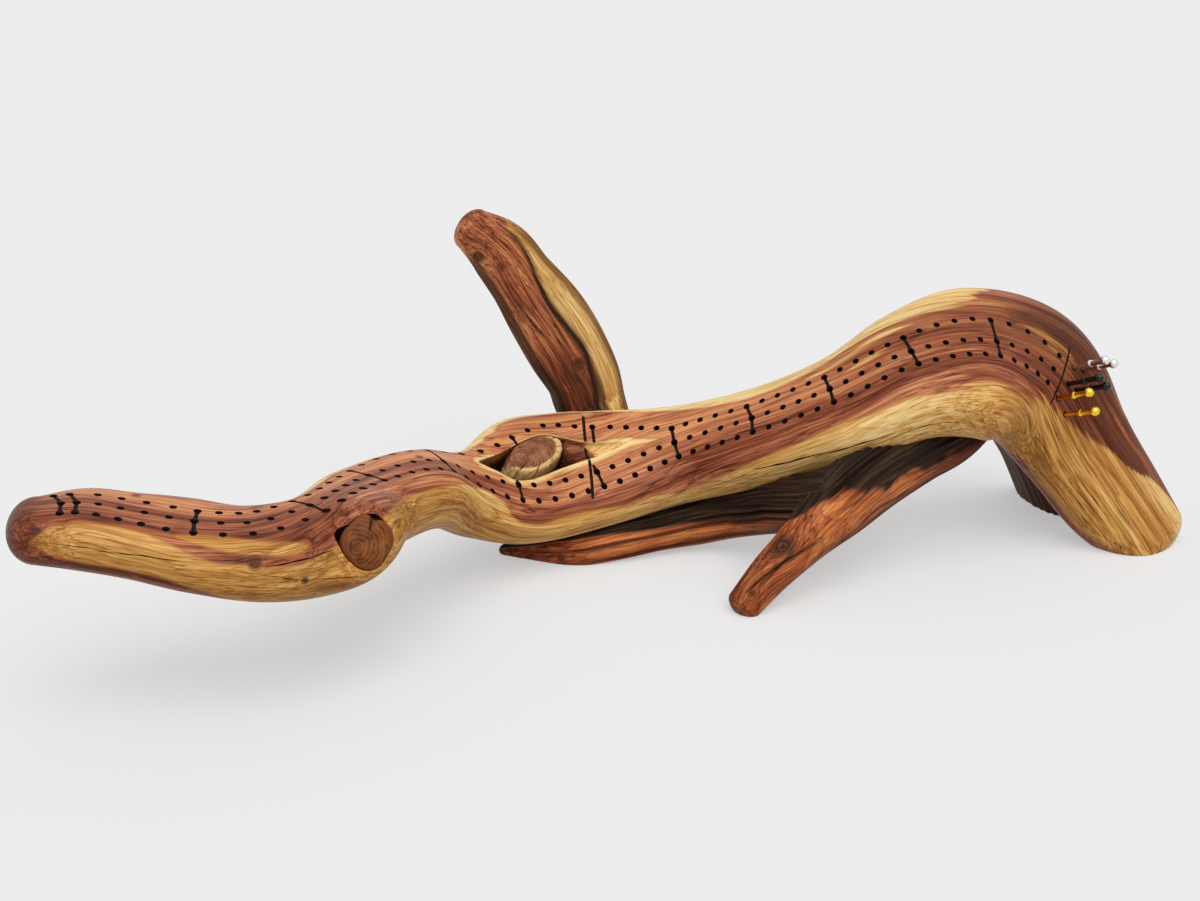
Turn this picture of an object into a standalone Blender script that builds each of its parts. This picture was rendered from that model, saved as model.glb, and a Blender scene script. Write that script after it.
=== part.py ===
"""A freeform cribbage board: a winding trunk of red cedar on limbs that serve as legs, with three tracks
of peg holes along its deck and six turned metal pegs parked behind the start line."""

import math

import bmesh
import bpy
import numpy as np
from mathutils import Matrix, Vector

# Driving dimensions, in metres. X runs along the trunk, -Y is its front, the floor is at z = 0.
trunk_run = 0.300  # from the middle of the drawing to each end of the trunk
trunk_sweep = 0.100  # how far the trunk winds to the front
deck_height = 0.120  # the deck's height at its crown
rail_width = 0.050  # from the middle track to an edge of the deck, at its widest
slab_thickness = 0.045  # of the trunk below the deck, at its thickest
nose_length = 0.012  # of the rounded end on the left
heel_length = 0.014  # of the rounded end on the right, which stands on the floor
bend_reach = 0.032  # how far each way a section looks for the trunk's direction
plan_centre_x = -0.0161  # the middle of the whole object in the drawing
plan_centre_y = -0.0240

hole_diameter = 0.0034
hole_depth = 0.0095
track_gap = 0.0095  # between the tracks
finish_margin = 0.0150  # from the trunk's left end to the last scoring row
finish_gap = 0.0062  # from the last scoring row to the finish row
start_margin = 0.1120  # from the first row to the trunk's right end
start_gap = 0.0125  # from the first row to the first parking holes
parking_pitch = 0.0100  # of the holes behind the start line

window_length = 0.090  # the hollow in the deck round the sawn knot
window_width = 0.028
window_depth = 0.017
window_edge = 0.0030  # from the middle track to the hollow
window_rim = 0.0067  # from the hollow to the back track
window_row = 37.12  # that its left tip lies at

window_knot_length = 0.0400
window_knot_width = 0.0215
window_knot_foot = 0.0040  # below the hollow's floor
window_knot_proud = 0.0012  # above the deck
window_knot_reach = 0.0380  # from the hollow's left tip to the knot's middle
window_knot_offset = 0.0190  # from the middle track to the back
window_knot_turn = 18  # degrees that its long axis turns to the back
knot_rounding = 0.0016  # of a knot's rim

face_knot_width = 0.0240
face_knot_height = 0.0255
face_knot_depth = 0.0110  # below the trunk's side
face_knot_proud = 0.0012
face_knot_row = 49.12  # that it lies below
face_knot_sink_share = 0.34  # of the thickness, below the deck
face_knot_offset_share = 0.75  # of the deck's half width, to the front
collar_reach = 0.0200  # of the swollen wood round the knot
collar_depth = 0.036  # that it reaches down
face_knot_seam = 0.0008  # open bark seam round the knot
face_knot_turn = 8  # degrees to the left of the front
face_knot_lift = 18  # degrees above the level

upright_root_share = 0.478  # along the trunk
upright_inset_share = 0.45  # of the deck's half width, to the back
upright_reach_x = -0.0657  # from its root in the trunk to its tip
upright_reach_y = 0.0312
upright_rise = 0.1170
upright_width = 0.040
upright_depth = 0.030
upright_lean = 0.009
upright_bow = 0.017

prop_root_share = 0.820  # along the trunk
prop_offset_share = 0.20  # of the deck's half width, to the front
prop_reach_x = -0.1655  # from its root in the trunk to its foot
prop_reach_y = -0.0362
prop_foot_z = 0.004
prop_width = 0.030
prop_depth = 0.026
prop_arch = 0.007

under_joint_share = 0.34  # along the prop limb
under_reach_x = -0.1413  # from the prop limb to its tip
under_reach_y = 0.0997
under_tip_z = 0.002
under_width = 0.022
under_depth = 0.028
under_bow_x = 0.018
under_bow_y = 0.026
under_sag = 0.012

rear_root_share = 0.795  # along the trunk
rear_reach_x = 0.0777  # from its root in the trunk to its foot
rear_reach_y = 0.0273
rear_width = 0.052
rear_depth = 0.028
rear_arch = 0.006

dowel_diameter = 0.008
dowel_length = 0.028
dowel_chamfer = 0.0006

peg_shaft_diameter = 0.0027
peg_neck_diameter = 0.0019
peg_collar_diameter = 0.0040
peg_head_diameter = 0.0050
peg_collar_height = 0.0115  # of the collar's middle above the deck
peg_head_height = 0.0217
peg_shoulder = 0.0012  # of the taper from the shaft to the neck
peg_chamfer = 0.0004

clearance = 0.0003  # between neighbouring pieces
foot_clearance = 0.0006  # from a peg's end to the bottom of its hole
overrun = 0.004  # of a cut past the surface that it opens
floor_cut = 0.060  # how far below the floor the feet are trimmed

scoring_rows = 60
end_rings = 5  # in a rounded end
trunk_sides = 24
limb_sides = 14
span_rings = 3  # between neighbouring stations
peg_sides = 12
plain_hole_sides = 6
parking_hole_sides = 10

# Trunk stations from the left end to the right one, as shares: x of trunk_run, y of trunk_sweep and z of
# deck_height for the middle track, its tilt to the front in degrees, the deck's front and back widths of
# rail_width, and the thickness of slab_thickness.
trunk_station_shares = (
    (-1.000, -0.78, 0.825, 2, 0.34, 0.38, 0.54),
    (-0.950, -0.77, 0.815, 2, 0.44, 0.52, 0.60),
    (-0.870, -0.82, 0.765, 4, 0.44, 0.58, 0.62),
    (-0.800, -0.89, 0.725, 6, 0.46, 0.64, 0.66),
    (-0.722, -0.92, 0.700, 6, 0.52, 0.60, 0.74),
    (-0.637, -0.80, 0.692, 6, 0.62, 0.44, 0.84),
    (-0.517, -0.45, 0.667, 4, 0.54, 0.50, 0.74),
    (-0.373, -0.20, 0.600, 15, 0.52, 0.46, 0.70),
    (-0.307, -0.14, 0.500, 26, 0.48, 0.52, 0.70),
    (-0.233, -0.10, 0.417, 34, 0.48, 0.92, 0.70),
    (-0.083, -0.03, 0.400, 33, 0.48, 1.00, 0.66),
    (0.060, -0.05, 0.492, 35, 0.52, 0.64, 0.76),
    (0.170, -0.29, 0.633, 35, 0.58, 0.58, 0.80),
    (0.280, -0.54, 0.800, 32, 0.62, 0.62, 0.87),
    (0.403, -0.69, 0.967, 28, 0.72, 0.78, 0.98),
    (0.563, -0.75, 0.983, 38, 0.88, 0.92, 0.98),
    (0.667, -0.79, 0.860, 49, 0.84, 0.90, 0.94),
    (0.760, -0.94, 0.500, 55, 0.66, 0.60, 0.88),
    (0.833, -1.06, 0.220, 54, 0.58, 0.52, 0.80),
    (0.868, -1.13, 0.080, 52, 0.46, 0.46, 0.66),
)

# Where the rows lie: row, and its share of the way from the first row to the last scoring one.
row_shares = (
    (1, 0.0),
    (10, 0.155),
    (20, 0.314),
    (30, 0.4735),
    (40, 0.643),
    (46, 0.7521),
    (50, 0.8195),
    (54, 0.8962),
    (58, 0.9688),
    (60, 1.0),
)

# Key places of the back track: row, how far it swings out as a share of the hollow's width and rim, and how
# far it runs ahead of its row as a share of the hollow's length.
detour_shares = (
    (1, 0.00, 0.00),
    (3, 0.12, 0.00),
    (8, 0.12, 0.00),
    (11, 0.00, 0.00),
    (25, 0.00, 0.010),
    (27, 0.24, 0.050),
    (29, 0.52, 0.100),
    (31, 0.80, 0.125),
    (33, 1.00, 0.145),
    (35, 0.80, 0.085),
    (37, 0.42, 0.040),
    (39, 0.20, 0.000),
    (43, 0.17, 0.000),
    (46, 0.00, 0.000),
    (49, 0.00, 0.005),
    (51, 0.00, -0.034),
    (53, 0.00, -0.012),
    (55, 0.00, 0.012),
    (57, 0.00, -0.004),
    (59, 0.00, -0.012),
    (60, 0.00, -0.038),
    (61, 0.00, -0.038),
)

# The hollow's outline from its left tip over its back edge to the right tip and back: shares of its length
# along the deck and of its width away from its front edge.
window_shares = (
    (0.00, 0.28),
    (0.07, 0.45),
    (0.16, 0.60),
    (0.28, 0.80),
    (0.42, 0.96),
    (0.54, 1.00),
    (0.64, 0.86),
    (0.75, 0.64),
    (0.87, 0.46),
    (1.00, 0.29),
    (0.86, 0.22),
    (0.70, 0.20),
    (0.55, 0.16),
    (0.42, 0.08),
    (0.32, 0.01),
    (0.21, 0.00),
    (0.12, 0.12),
)

# The parking holes, two behind each track: shares of the gap between tracks to the front and of their pitch.
parking_shares = ((1.05, 0.0), (1.10, 1.05), (-0.12, 0.0), (-0.35, 0.6), (-1.15, -0.25), (-1.58, 0.2))

# Limb stations as shares: of the way from the first end to the last, of the limb's bow along X, Y and Z, and of
# its width and depth.
upright_shares = (
    (0.00, 0.0, 0.00, 0.0, 0.80, 0.80),
    (0.13, 0.7, 1.00, 0.0, 0.98, 0.96),
    (0.28, 1.2, 0.81, 0.0, 1.05, 1.00),
    (0.43, 1.3, 0.65, 0.0, 1.12, 1.00),
    (0.60, 1.3, 0.48, 0.0, 1.08, 0.96),
    (0.76, 1.1, 0.28, 0.0, 0.92, 0.88),
    (0.92, 0.7, 0.07, 0.0, 0.82, 0.76),
    (1.00, 0.0, 0.00, 0.0, 0.60, 0.60),
)
prop_shares = (
    (0.00, 0.0, 0.0, 0.00, 0.58, 0.66),
    (0.09, 0.0, 0.0, 0.64, 0.68, 0.78),
    (0.20, 0.0, 0.0, 1.00, 0.80, 0.90),
    (0.34, 0.0, 0.0, 1.51, 1.20, 1.06),
    (0.50, 0.0, 0.0, 1.40, 1.30, 1.06),
    (0.67, 0.0, 0.0, 0.60, 1.30, 1.00),
    (0.83, 0.0, 0.0, -0.49, 1.20, 1.00),
    (1.00, 0.0, 0.0, 0.00, 1.00, 1.00),
)
under_shares = (
    (0.00, 0.00, 0.00, 0.00, 0.36, 0.36),
    (0.08, 0.00, 0.00, 0.12, 0.62, 0.60),
    (0.21, 0.02, 0.02, 0.34, 0.90, 0.84),
    (0.33, 0.32, 0.32, 0.50, 0.96, 0.94),
    (0.44, 0.70, 0.70, 0.74, 0.92, 0.94),
    (0.56, 0.98, 0.98, 0.82, 1.10, 0.94),
    (0.68, 1.00, 1.00, 0.60, 1.25, 0.96),
    (0.82, 0.68, 0.68, 0.19, 1.45, 1.00),
    (1.00, 0.00, 0.00, -0.35, 1.45, 1.00),
)
rear_shares = (
    (0.00, 0.0, 0.0, 0.0, 1.00, 1.10),
    (0.35, 0.0, 0.0, 0.6, 0.94, 1.00),
    (0.70, 0.0, 0.0, 1.0, 0.96, 0.92),
    (1.00, 0.0, 0.0, 0.0, 1.04, 0.86),
)


def collection(name):
    made = bpy.data.collections.new(name)
    bpy.context.scene.collection.children.link(made)
    return made


def finish(name, colour, roughness, metallic=0.0):
    material = bpy.data.materials.new(name)
    material.use_nodes = True
    shader = material.node_tree.nodes["Principled BSDF"]
    shader.inputs["Base Color"].default_value = (*colour, 1)
    shader.inputs["Roughness"].default_value = roughness
    shader.inputs["Metallic"].default_value = metallic
    material.diffuse_color = (*colour, 1)
    return material


def spline(places, values, wanted):
    """Values at the wanted places, on a smooth curve through the given ones, with weighted mean slopes."""
    places, values, wanted = (np.asarray(a, float) for a in (places, values, wanted))
    if values.ndim == 1:
        return spline(places, values[:, None], wanted)[:, 0]
    gaps = np.diff(places)[:, None]
    rise = np.diff(values, axis=0) / gaps
    slopes = np.vstack([rise[:1], (gaps[1:] * rise[:-1] + gaps[:-1] * rise[1:]) / (gaps[1:] + gaps[:-1]), rise[-1:]])
    k = np.clip(np.searchsorted(places, wanted, side="right") - 1, 0, len(gaps) - 1)
    t = ((wanted - places[k]) / gaps[k, 0])[:, None]
    start = (1 + 2 * t) * (1 - t) ** 2 * values[k] + t * (1 - t) ** 2 * gaps[k] * slopes[k]
    return start + t**2 * (3 - 2 * t) * values[k + 1] - t**2 * (1 - t) * gaps[k] * slopes[k + 1]


def unit(vectors):
    return vectors / np.linalg.norm(vectors, axis=-1, keepdims=True)


class Trunk:
    """The trunk's surface: a place along it, a place across its deck, and the section below."""

    top_power = 3.0
    bottom_power = 2.2

    def __init__(self):
        table = np.array(trunk_station_shares)
        scale = [trunk_run, trunk_sweep, deck_height, 1, rail_width, rail_width, slab_thickness]
        self.values = table * scale
        self.values[:, 0] -= plan_centre_x
        self.values[:, 1] -= plan_centre_y
        chords = np.linalg.norm(np.diff(self.values[:, :3], axis=0), axis=1)
        self.places = np.concatenate([[0], np.cumsum(chords)])
        self.length = self.places[-1]
        turn, lift = math.radians(face_knot_turn), math.radians(face_knot_lift)
        level = math.cos(lift)
        self.knot_axis = np.array([-math.sin(turn) * level, -math.cos(turn) * level, math.sin(lift)])
        knot_place = row_place(self, face_knot_row)
        self.knot_centre = self.core(knot_place, face_knot_sink_share, face_knot_offset_share)
        while self.holds(self.knot_centre):
            self.knot_centre = self.knot_centre + clearance * self.knot_axis

    def frame(self, places):
        """Station values with the directions along the trunk, out of its deck and to its front."""
        places = np.atleast_1d(places).astype(float)
        ahead = spline(self.places, self.values, np.minimum(places + bend_reach, self.length))
        behind = spline(self.places, self.values, np.maximum(places - bend_reach, 0))
        along = unit(ahead[:, :3] - behind[:, :3])
        here = spline(self.places, self.values, places)
        upright = unit(np.array([0, 0, 1]) - along[:, 2:] * along)
        front = np.cross(along, upright)
        tilt = np.radians(here[:, 3:4])
        out = upright * np.cos(tilt) + front * np.sin(tilt)
        return here, along, out, front * np.cos(tilt) - upright * np.sin(tilt)

    def rings(self, places, grow=0.0):
        """Section rings: flat-topped above the middle and rounder below it."""
        here, along, out, front = self.frame(places)
        angle = np.linspace(0, 2 * math.pi, trunk_sides, endpoint=False)
        power = np.where(np.sin(angle) >= 0, self.top_power, self.bottom_power)
        across = np.sign(np.cos(angle)) * np.abs(np.cos(angle)) ** (2 / power)
        up = np.sign(np.sin(angle)) * np.abs(np.sin(angle)) ** (2 / power)
        half = (here[:, 4] + here[:, 5])[:, None] / 2 + grow
        shift = (here[:, 4] - here[:, 5])[:, None] / 2
        deep = here[:, 6][:, None] / 2
        side = (shift + half * across)[..., None] * front[:, None]
        rise = ((deep + grow) * up - deep)[..., None] * out[:, None]
        return here[:, None, :3] + side + rise, here[:, :3] - deep * out + shift * front, along

    def collar(self, points):
        """Section points drawn to the plane of the face knot, where the wood has swollen round it."""
        away = points - self.knot_centre
        height = away @ self.knot_axis
        aside = np.linalg.norm(away - height[..., None] * self.knot_axis, axis=-1)
        pull = np.exp(-((aside / collar_reach) ** 4) - (np.minimum(height, 0) / collar_depth) ** 6)
        return points - (pull * height)[..., None] * self.knot_axis

    def point(self, place, across, lift=0.0):
        """A point of the deck: across is positive to the front, lift is out of the deck."""
        here, along, out, front = self.frame(place)
        half = (here[0, 4] + here[0, 5]) / 2
        share = min(abs(across - (here[0, 4] - here[0, 5]) / 2) / half, 1)
        sink = here[0, 6] / 2 * (1 - (1 - share**self.top_power) ** (1 / self.top_power))
        return here[0, :3] + across * front[0] + (lift - sink) * out[0]

    def core(self, place, sink_share=0.5, across_share=0.0):
        """A point inside the trunk, below the middle of its deck."""
        here, along, out, front = self.frame(place)
        middle = (here[0, 4] - here[0, 5]) / 2 + across_share * (here[0, 4] + here[0, 5]) / 2
        return here[0, :3] - sink_share * here[0, 6] * out[0] + middle * front[0]

    def axes(self, place):
        """The directions along the deck, out of it and to its front."""
        _, along, out, front = self.frame(place)
        return Vector(along[0]), Vector(out[0]), Vector(front[0])

    def holds(self, point):
        """Whether a point lies inside the trunk."""
        here, along, out, front = self.frame(np.linspace(0, self.length, 40 * len(self.places)))
        away = point - here[:, :3]
        nearest = np.argmin(np.linalg.norm(away, axis=1))
        half = (here[nearest, 4] + here[nearest, 5]) / 2
        across = away[nearest] @ front[nearest] - (here[nearest, 4] - here[nearest, 5]) / 2
        deep = here[nearest, 6] / 2
        up = away[nearest] @ out[nearest] + deep
        return abs(across / half) ** self.bottom_power + abs(up / deep) ** self.bottom_power < 1


def rounded_end(ring, centre, along, length):
    """Rings that close a loft with a quarter ellipse, from the given ring outwards."""
    turns = np.linspace(0, math.pi / 2, end_rings + 1)[1:-1]
    return [centre + (ring - centre) * math.cos(turn) + along * length * math.sin(turn) for turn in turns]


def loft(name, rings, first_tip, last_tip, into):
    """A closed mesh between rings, with a fan to a point at each end. Its diagonals all run the same way, so
    that a grown copy stays clear of it where the rings twist."""
    mesh = bpy.data.meshes.new(name)
    form = bmesh.new()
    loops = [[form.verts.new(point) for point in ring] for ring in rings]
    tips = form.verts.new(first_tip), form.verts.new(last_tip)
    count = len(loops[0])
    for a, b in zip(loops[:-1], loops[1:]):
        for i in range(count):
            form.faces.new((a[i], a[i - 1], b[i - 1]))
            form.faces.new((a[i], b[i - 1], b[i]))
    for i in range(count):
        form.faces.new((loops[0][i - 1], loops[0][i], tips[0]))
        form.faces.new((loops[-1][i], loops[-1][i - 1], tips[1]))
    bmesh.ops.recalc_face_normals(form, faces=form.faces)
    form.to_mesh(mesh)
    form.free()
    mesh.shade_smooth()
    made = bpy.data.objects.new(name, mesh)
    into.objects.link(made)
    return made


class Limb:
    """A limb between two points, bowed between them, with a rounded end at each."""

    power = 2.3

    def __init__(self, shares, first, last, bow, sizes, facing, end_lengths):
        self.shares = np.array(shares)
        self.first, self.last = np.array(first), np.array(last)
        self.bow, self.sizes, self.facing = np.array(bow), np.array(sizes), np.array(facing, float)
        self.end_lengths = end_lengths

    def stations(self, ways):
        here = spline(self.shares[:, 0], self.shares[:, 1:], ways)
        middle = self.first + (self.last - self.first) * np.asarray(ways)[:, None]
        return middle + here[:, :3] * self.bow, here[:, 3:] * self.sizes

    def at(self, way):
        """The middle of the limb and its direction at one place."""
        points, _ = self.stations(np.array([way - 0.01, way, way + 0.01]))
        return points[1], unit(points[2] - points[0])

    def holds(self, point):
        """Whether a point lies inside the limb."""
        middle, size = self.stations(np.linspace(0, 1, 40 * len(self.shares)))
        far = np.linalg.norm(point - middle, axis=1)
        nearest = np.argmin(far)
        return far[nearest] < size[nearest].min() / 2

    def rings(self, grow=0.0):
        ways = between(self.shares[:, 0])
        middle, size = self.stations(ways)
        along = unit(np.gradient(middle, axis=0))
        deep = unit(self.facing - (along @ self.facing)[:, None] * along)
        wide = np.cross(along, deep)
        angle = np.linspace(0, 2 * math.pi, limb_sides, endpoint=False)
        across = np.sign(np.cos(angle)) * np.abs(np.cos(angle)) ** (2 / self.power)
        up = np.sign(np.sin(angle)) * np.abs(np.sin(angle)) ** (2 / self.power)
        half = size[:, :1] / 2 + grow
        thick = size[:, 1:] / 2 + grow
        side = (half * across)[..., None] * wide[:, None]
        return middle[:, None] + side + (thick * up)[..., None] * deep[:, None], middle, along

    def loft(self, name, into, grow=0.0):
        rings, middle, along = self.rings(grow)
        start, stop = (length + grow for length in self.end_lengths)
        opening = rounded_end(rings[0], middle[0], -along[0], start)
        closing = rounded_end(rings[-1], middle[-1], along[-1], stop)
        tips = middle[0] - along[0] * start, middle[-1] + along[-1] * stop
        return loft(name, [*opening[::-1], *rings, *closing], *tips, into)


def hide(cutter):
    cutter.hide_render = True
    cutter.display_type = "WIRE"
    return cutter


def cut(piece, cutter):
    """A subtraction. The exact solver loses the trunk at the sawn knot's socket, so closed meshes meet here."""
    modifier = piece.modifiers.new(cutter.name, "BOOLEAN")
    modifier.operation = "DIFFERENCE"
    modifier.solver = "MANIFOLD"
    modifier.object = cutter


def turned_frame(axis):
    """A rotation whose Z axis lies along the given direction."""
    return Vector(axis).to_track_quat("Z", "X").to_matrix().to_4x4()


def add_prism(form, foot, axis, radius, length, sides):
    """A closed prism from its foot along the axis, added to a mesh under construction."""
    place = Matrix.Translation(Vector(foot) + Vector(axis) * length / 2) @ turned_frame(axis)
    bmesh.ops.create_cone(
        form, cap_ends=True, segments=sides, radius1=radius, radius2=radius, depth=length, matrix=place
    )


def mesh_object(name, form, into):
    mesh = bpy.data.meshes.new(name)
    bmesh.ops.recalc_face_normals(form, faces=form.faces)
    form.to_mesh(mesh)
    form.free()
    made = bpy.data.objects.new(name, mesh)
    into.objects.link(made)
    return made


def between(places):
    """The places with as many more between each two as a loft needs."""
    spans = np.linspace(0, len(places) - 1, span_rings * (len(places) - 1) + 1)
    return np.interp(spans, np.arange(len(places)), places)


def trunk_loft(trunk, name, into, grow=0.0):
    """The whole trunk from the rounded nose to the rounded heel."""
    rings, centres, along = trunk.rings(between(trunk.places), grow)
    rings = trunk.collar(rings)
    nose = rounded_end(rings[0], centres[0], -along[0], nose_length + grow)
    heel = rounded_end(rings[-1], centres[-1], along[-1], heel_length + grow)
    tips = centres[0] - along[0] * (nose_length + grow), centres[-1] + along[-1] * (heel_length + grow)
    return loft(name, [*nose[::-1], *rings, *heel], *tips, into)


def row_place(trunk, row):
    """Where a row lies along the deck: row 1 is the first, and the finish row follows the last scoring one."""
    if row > scoring_rows:
        return finish_margin - finish_gap
    keys = np.array(row_shares)
    share = spline(keys[:, 0], keys[:, 1], [row])[0]
    first = trunk.length - start_margin
    return first + (finish_margin - first) * share


def back_track(row):
    """How far the back track swings out round the hollow, and how far it runs ahead of its row."""
    keys = np.array(detour_shares)
    swing, lead = spline(keys[:, 0], keys[:, 1:], [row])[0]
    reach = window_edge + window_width + window_rim - track_gap
    return max(swing, 0) * reach, lead * window_length


def track_points(trunk):
    """(place, across) of every scoring hole."""
    found = []
    for row in range(1, scoring_rows + 2):
        place = row_place(trunk, row)
        swing, lead = back_track(row)
        found += [(place, track_gap), (place, 0.0), (place + lead, -track_gap - swing)]
    return found


def parking_points(trunk):
    """(place, across) of the holes behind the start line, front track first."""
    first = row_place(trunk, 1) + start_gap
    return [(first + parking_pitch * behind, track_gap * aside) for aside, behind in parking_shares]


def add_hole(form, trunk, place, across, sides):
    axis = trunk.axes(place)[1]
    foot = Vector(trunk.point(place, across)) - axis * hole_depth
    add_prism(form, foot, axis, hole_diameter / 2, hole_depth + overrun, sides)


def hollow(trunk, into):
    """The hollow's cutter: its outline on the deck, carried down along the deck's own direction."""
    form = bmesh.new()
    outline = [
        (row_place(trunk, window_row) + window_length * along, -window_edge - window_width * back)
        for along, back in window_shares
    ]
    rings = []
    for lift in (overrun, -window_depth):
        ring = [Vector(trunk.point(place, across)) + trunk.axes(place)[1] * lift for place, across in outline]
        rings.append([form.verts.new(point) for point in ring])
    count = len(outline)
    for i in range(count):
        form.faces.new((rings[0][i - 1], rings[0][i], rings[1][i], rings[1][i - 1]))
    for ring in rings:
        centre = form.verts.new(sum((v.co for v in ring), Vector()) / count)
        for i in range(count):
            form.faces.new((ring[i - 1], ring[i], centre))
    return hide(mesh_object("hollow_cut", form, into))


def limbs(trunk):
    """Each limb by name, from the named sizes and the trunk that carries it."""
    root = trunk.core(upright_root_share * trunk.length, 0.5, -upright_inset_share)
    upright = Limb(
        upright_shares,
        root,
        root + np.array([upright_reach_x, upright_reach_y, upright_rise]),
        (upright_lean, upright_bow, 0),
        (upright_width, upright_depth),
        (0, -1, 0),
        (upright_width / 8, upright_width / 5),
    )
    root = trunk.core(prop_root_share * trunk.length, 0.72, prop_offset_share)
    prop = Limb(
        prop_shares,
        np.array([root[0] + prop_reach_x, root[1] + prop_reach_y, prop_foot_z]),
        root,
        (0, 0, prop_arch),
        (prop_width, prop_depth),
        (0, -1, 0),
        (prop_width / 5, prop_width / 8),
    )
    fork = prop.at(under_joint_share)[0]
    under = Limb(
        under_shares,
        np.array([fork[0] + under_reach_x, fork[1] + under_reach_y, under_tip_z]),
        fork,
        (under_bow_x, under_bow_y, -under_sag),
        (under_width, under_depth),
        (0, -1, 0),
        (under_width / 4, under_width / 8),
    )
    root = trunk.core(rear_root_share * trunk.length, 0.6)
    rear = Limb(
        rear_shares,
        root,
        np.array([root[0] + rear_reach_x, root[1] + rear_reach_y, 0]),
        (0, 0, rear_arch),
        (rear_width, rear_depth),
        (1, 0, 0.4),
        (rear_depth / 6, rear_depth / 4),
    )
    return {"upright_limb": upright, "prop_limb": prop, "under_limb": under, "rear_leg": rear}


def leaving(limb, holder):
    """Where a limb's middle leaves the piece that holds its root, with its direction there."""
    ways = np.linspace(0, 1, 200)
    held = [holder(limb.at(way)[0]) for way in ways]
    change = next(i for i in range(1, len(held)) if held[i] != held[i - 1])
    return limb.at(ways[change])


def round_bar(name, middle, axis, diameter, length, sides, into):
    """A straight round bar about its middle."""
    form = bmesh.new()
    add_prism(form, Vector(middle) - Vector(axis) * length / 2, axis, diameter / 2, length, sides)
    return mesh_object(name, form, into)


def joint_dowel(name, middle, axis, board, helpers):
    """A dowel across a joint, and the bore that it needs in both pieces."""
    dowel = round_bar(name, middle, axis, dowel_diameter, dowel_length, peg_sides, board)
    chamfer = dowel.modifiers.new("chamfer", "BEVEL")
    chamfer.width = dowel_chamfer
    chamfer.segments = 1
    chamfer.limit_method = "ANGLE"
    chamfer.angle_limit = math.radians(60)
    bore_length = dowel_length + 2 * clearance
    bore = round_bar(name + "_bore", middle, axis, dowel_diameter + 2 * clearance, bore_length, peg_sides, helpers)
    return dowel, hide(bore)


def knot(name, centre, wide, high, axis, sizes, into):
    """An oval plug: its width, height, length below the centre and length above it."""
    width, height, below, above = sizes
    form = bmesh.new()
    bmesh.ops.create_cone(form, cap_ends=True, segments=2 * peg_sides, radius1=0.5, radius2=0.5, depth=1)
    bmesh.ops.translate(form, verts=form.verts, vec=(0, 0, 0.5))
    bmesh.ops.scale(form, verts=form.verts, vec=(width, height, below + above))
    turn = Matrix((wide, high, axis)).transposed().to_4x4()
    bmesh.ops.transform(form, verts=form.verts, matrix=Matrix.Translation(centre - axis * below) @ turn)
    return mesh_object(name, form, into)


def knot_places(trunk):
    """Each knot by name: centre, directions across it and out of it, its sizes and the seam round it."""
    place = row_place(trunk, window_row) + window_knot_reach
    along, out, front = trunk.axes(place)
    centre = Vector(trunk.point(place, -window_knot_offset))
    turn = math.radians(window_knot_turn)
    wide = along * math.cos(turn) - front * math.sin(turn)
    sizes = (window_knot_length, window_knot_width, window_depth + window_knot_foot, window_knot_proud)
    deck = (centre, wide, out.cross(wide), out, sizes, clearance)
    axis = Vector(trunk.knot_axis)
    centre = Vector(trunk.knot_centre)
    level = axis.cross(Vector((0, 0, -1))).normalized()
    sizes = (face_knot_width, face_knot_height, face_knot_depth, face_knot_proud)
    side = (centre, level, axis.cross(level), axis, sizes, face_knot_seam)
    return {"window_knot": deck, "face_knot": side}


def ball_arc(radius, middle, first, last, steps=5):
    """Profile points on a ball, from one height off its middle down to another."""
    turns = np.linspace(math.asin(first / radius), math.asin(last / radius), steps)
    return [(radius * math.cos(turn), middle + radius * math.sin(turn)) for turn in turns]


def peg(name, place, across, trunk, metal, into):
    """A turned peg in its hole, with its origin at the deck and its Z axis out of the hole."""
    neck, shaft = peg_neck_diameter / 2, peg_shaft_diameter / 2
    head, collar = peg_head_diameter / 2, peg_collar_diameter / 2
    head_end = math.sqrt(head**2 - neck**2)
    collar_end = math.sqrt(collar**2 - neck**2)
    foot = foot_clearance - hole_depth
    profile = [
        (0, peg_head_height + head),
        *ball_arc(head, peg_head_height, head * 0.85, -head_end, 6),
        *ball_arc(collar, peg_collar_height, collar_end, -collar_end),
        (neck, 0),
        (shaft, -peg_shoulder),
        (shaft, foot + peg_chamfer),
        (shaft - peg_chamfer, foot),
        (0, foot),
    ]
    mesh = bpy.data.meshes.new(name)
    points = [(radius, 0, height) for radius, height in profile]
    mesh.from_pydata(points, [(i, i + 1) for i in range(len(points) - 1)], [])
    made = bpy.data.objects.new(name, mesh)
    into.objects.link(made)
    made.data.materials.append(metal)
    turning = made.modifiers.new("turning", "SCREW")
    turning.steps = turning.render_steps = peg_sides
    turning.use_merge_vertices = True
    turning.merge_threshold = 0.00001
    turning.use_smooth_shade = True
    made.location = Vector(trunk.point(place, across))
    made.rotation_euler = turned_frame(trunk.axes(place)[1]).to_euler()
    return made


def floor_block(into):
    """Everything below the floor."""
    form = bmesh.new()
    size = 4 * trunk_run
    place = Matrix.Translation((0, 0, -floor_cut / 2)) @ Matrix.Diagonal((size, size, floor_cut, 1))
    bmesh.ops.create_cube(form, matrix=place)
    return hide(mesh_object("below_floor", form, into))


def bores(trunk, helpers):
    """Every peg hole, as one cutter."""
    form = bmesh.new()
    for place, across in track_points(trunk):
        add_hole(form, trunk, place, across, plain_hole_sides)
    for place, across in parking_points(trunk):
        add_hole(form, trunk, place, across, parking_hole_sides)
    return hide(mesh_object("trunk_bores", form, helpers))


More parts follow.
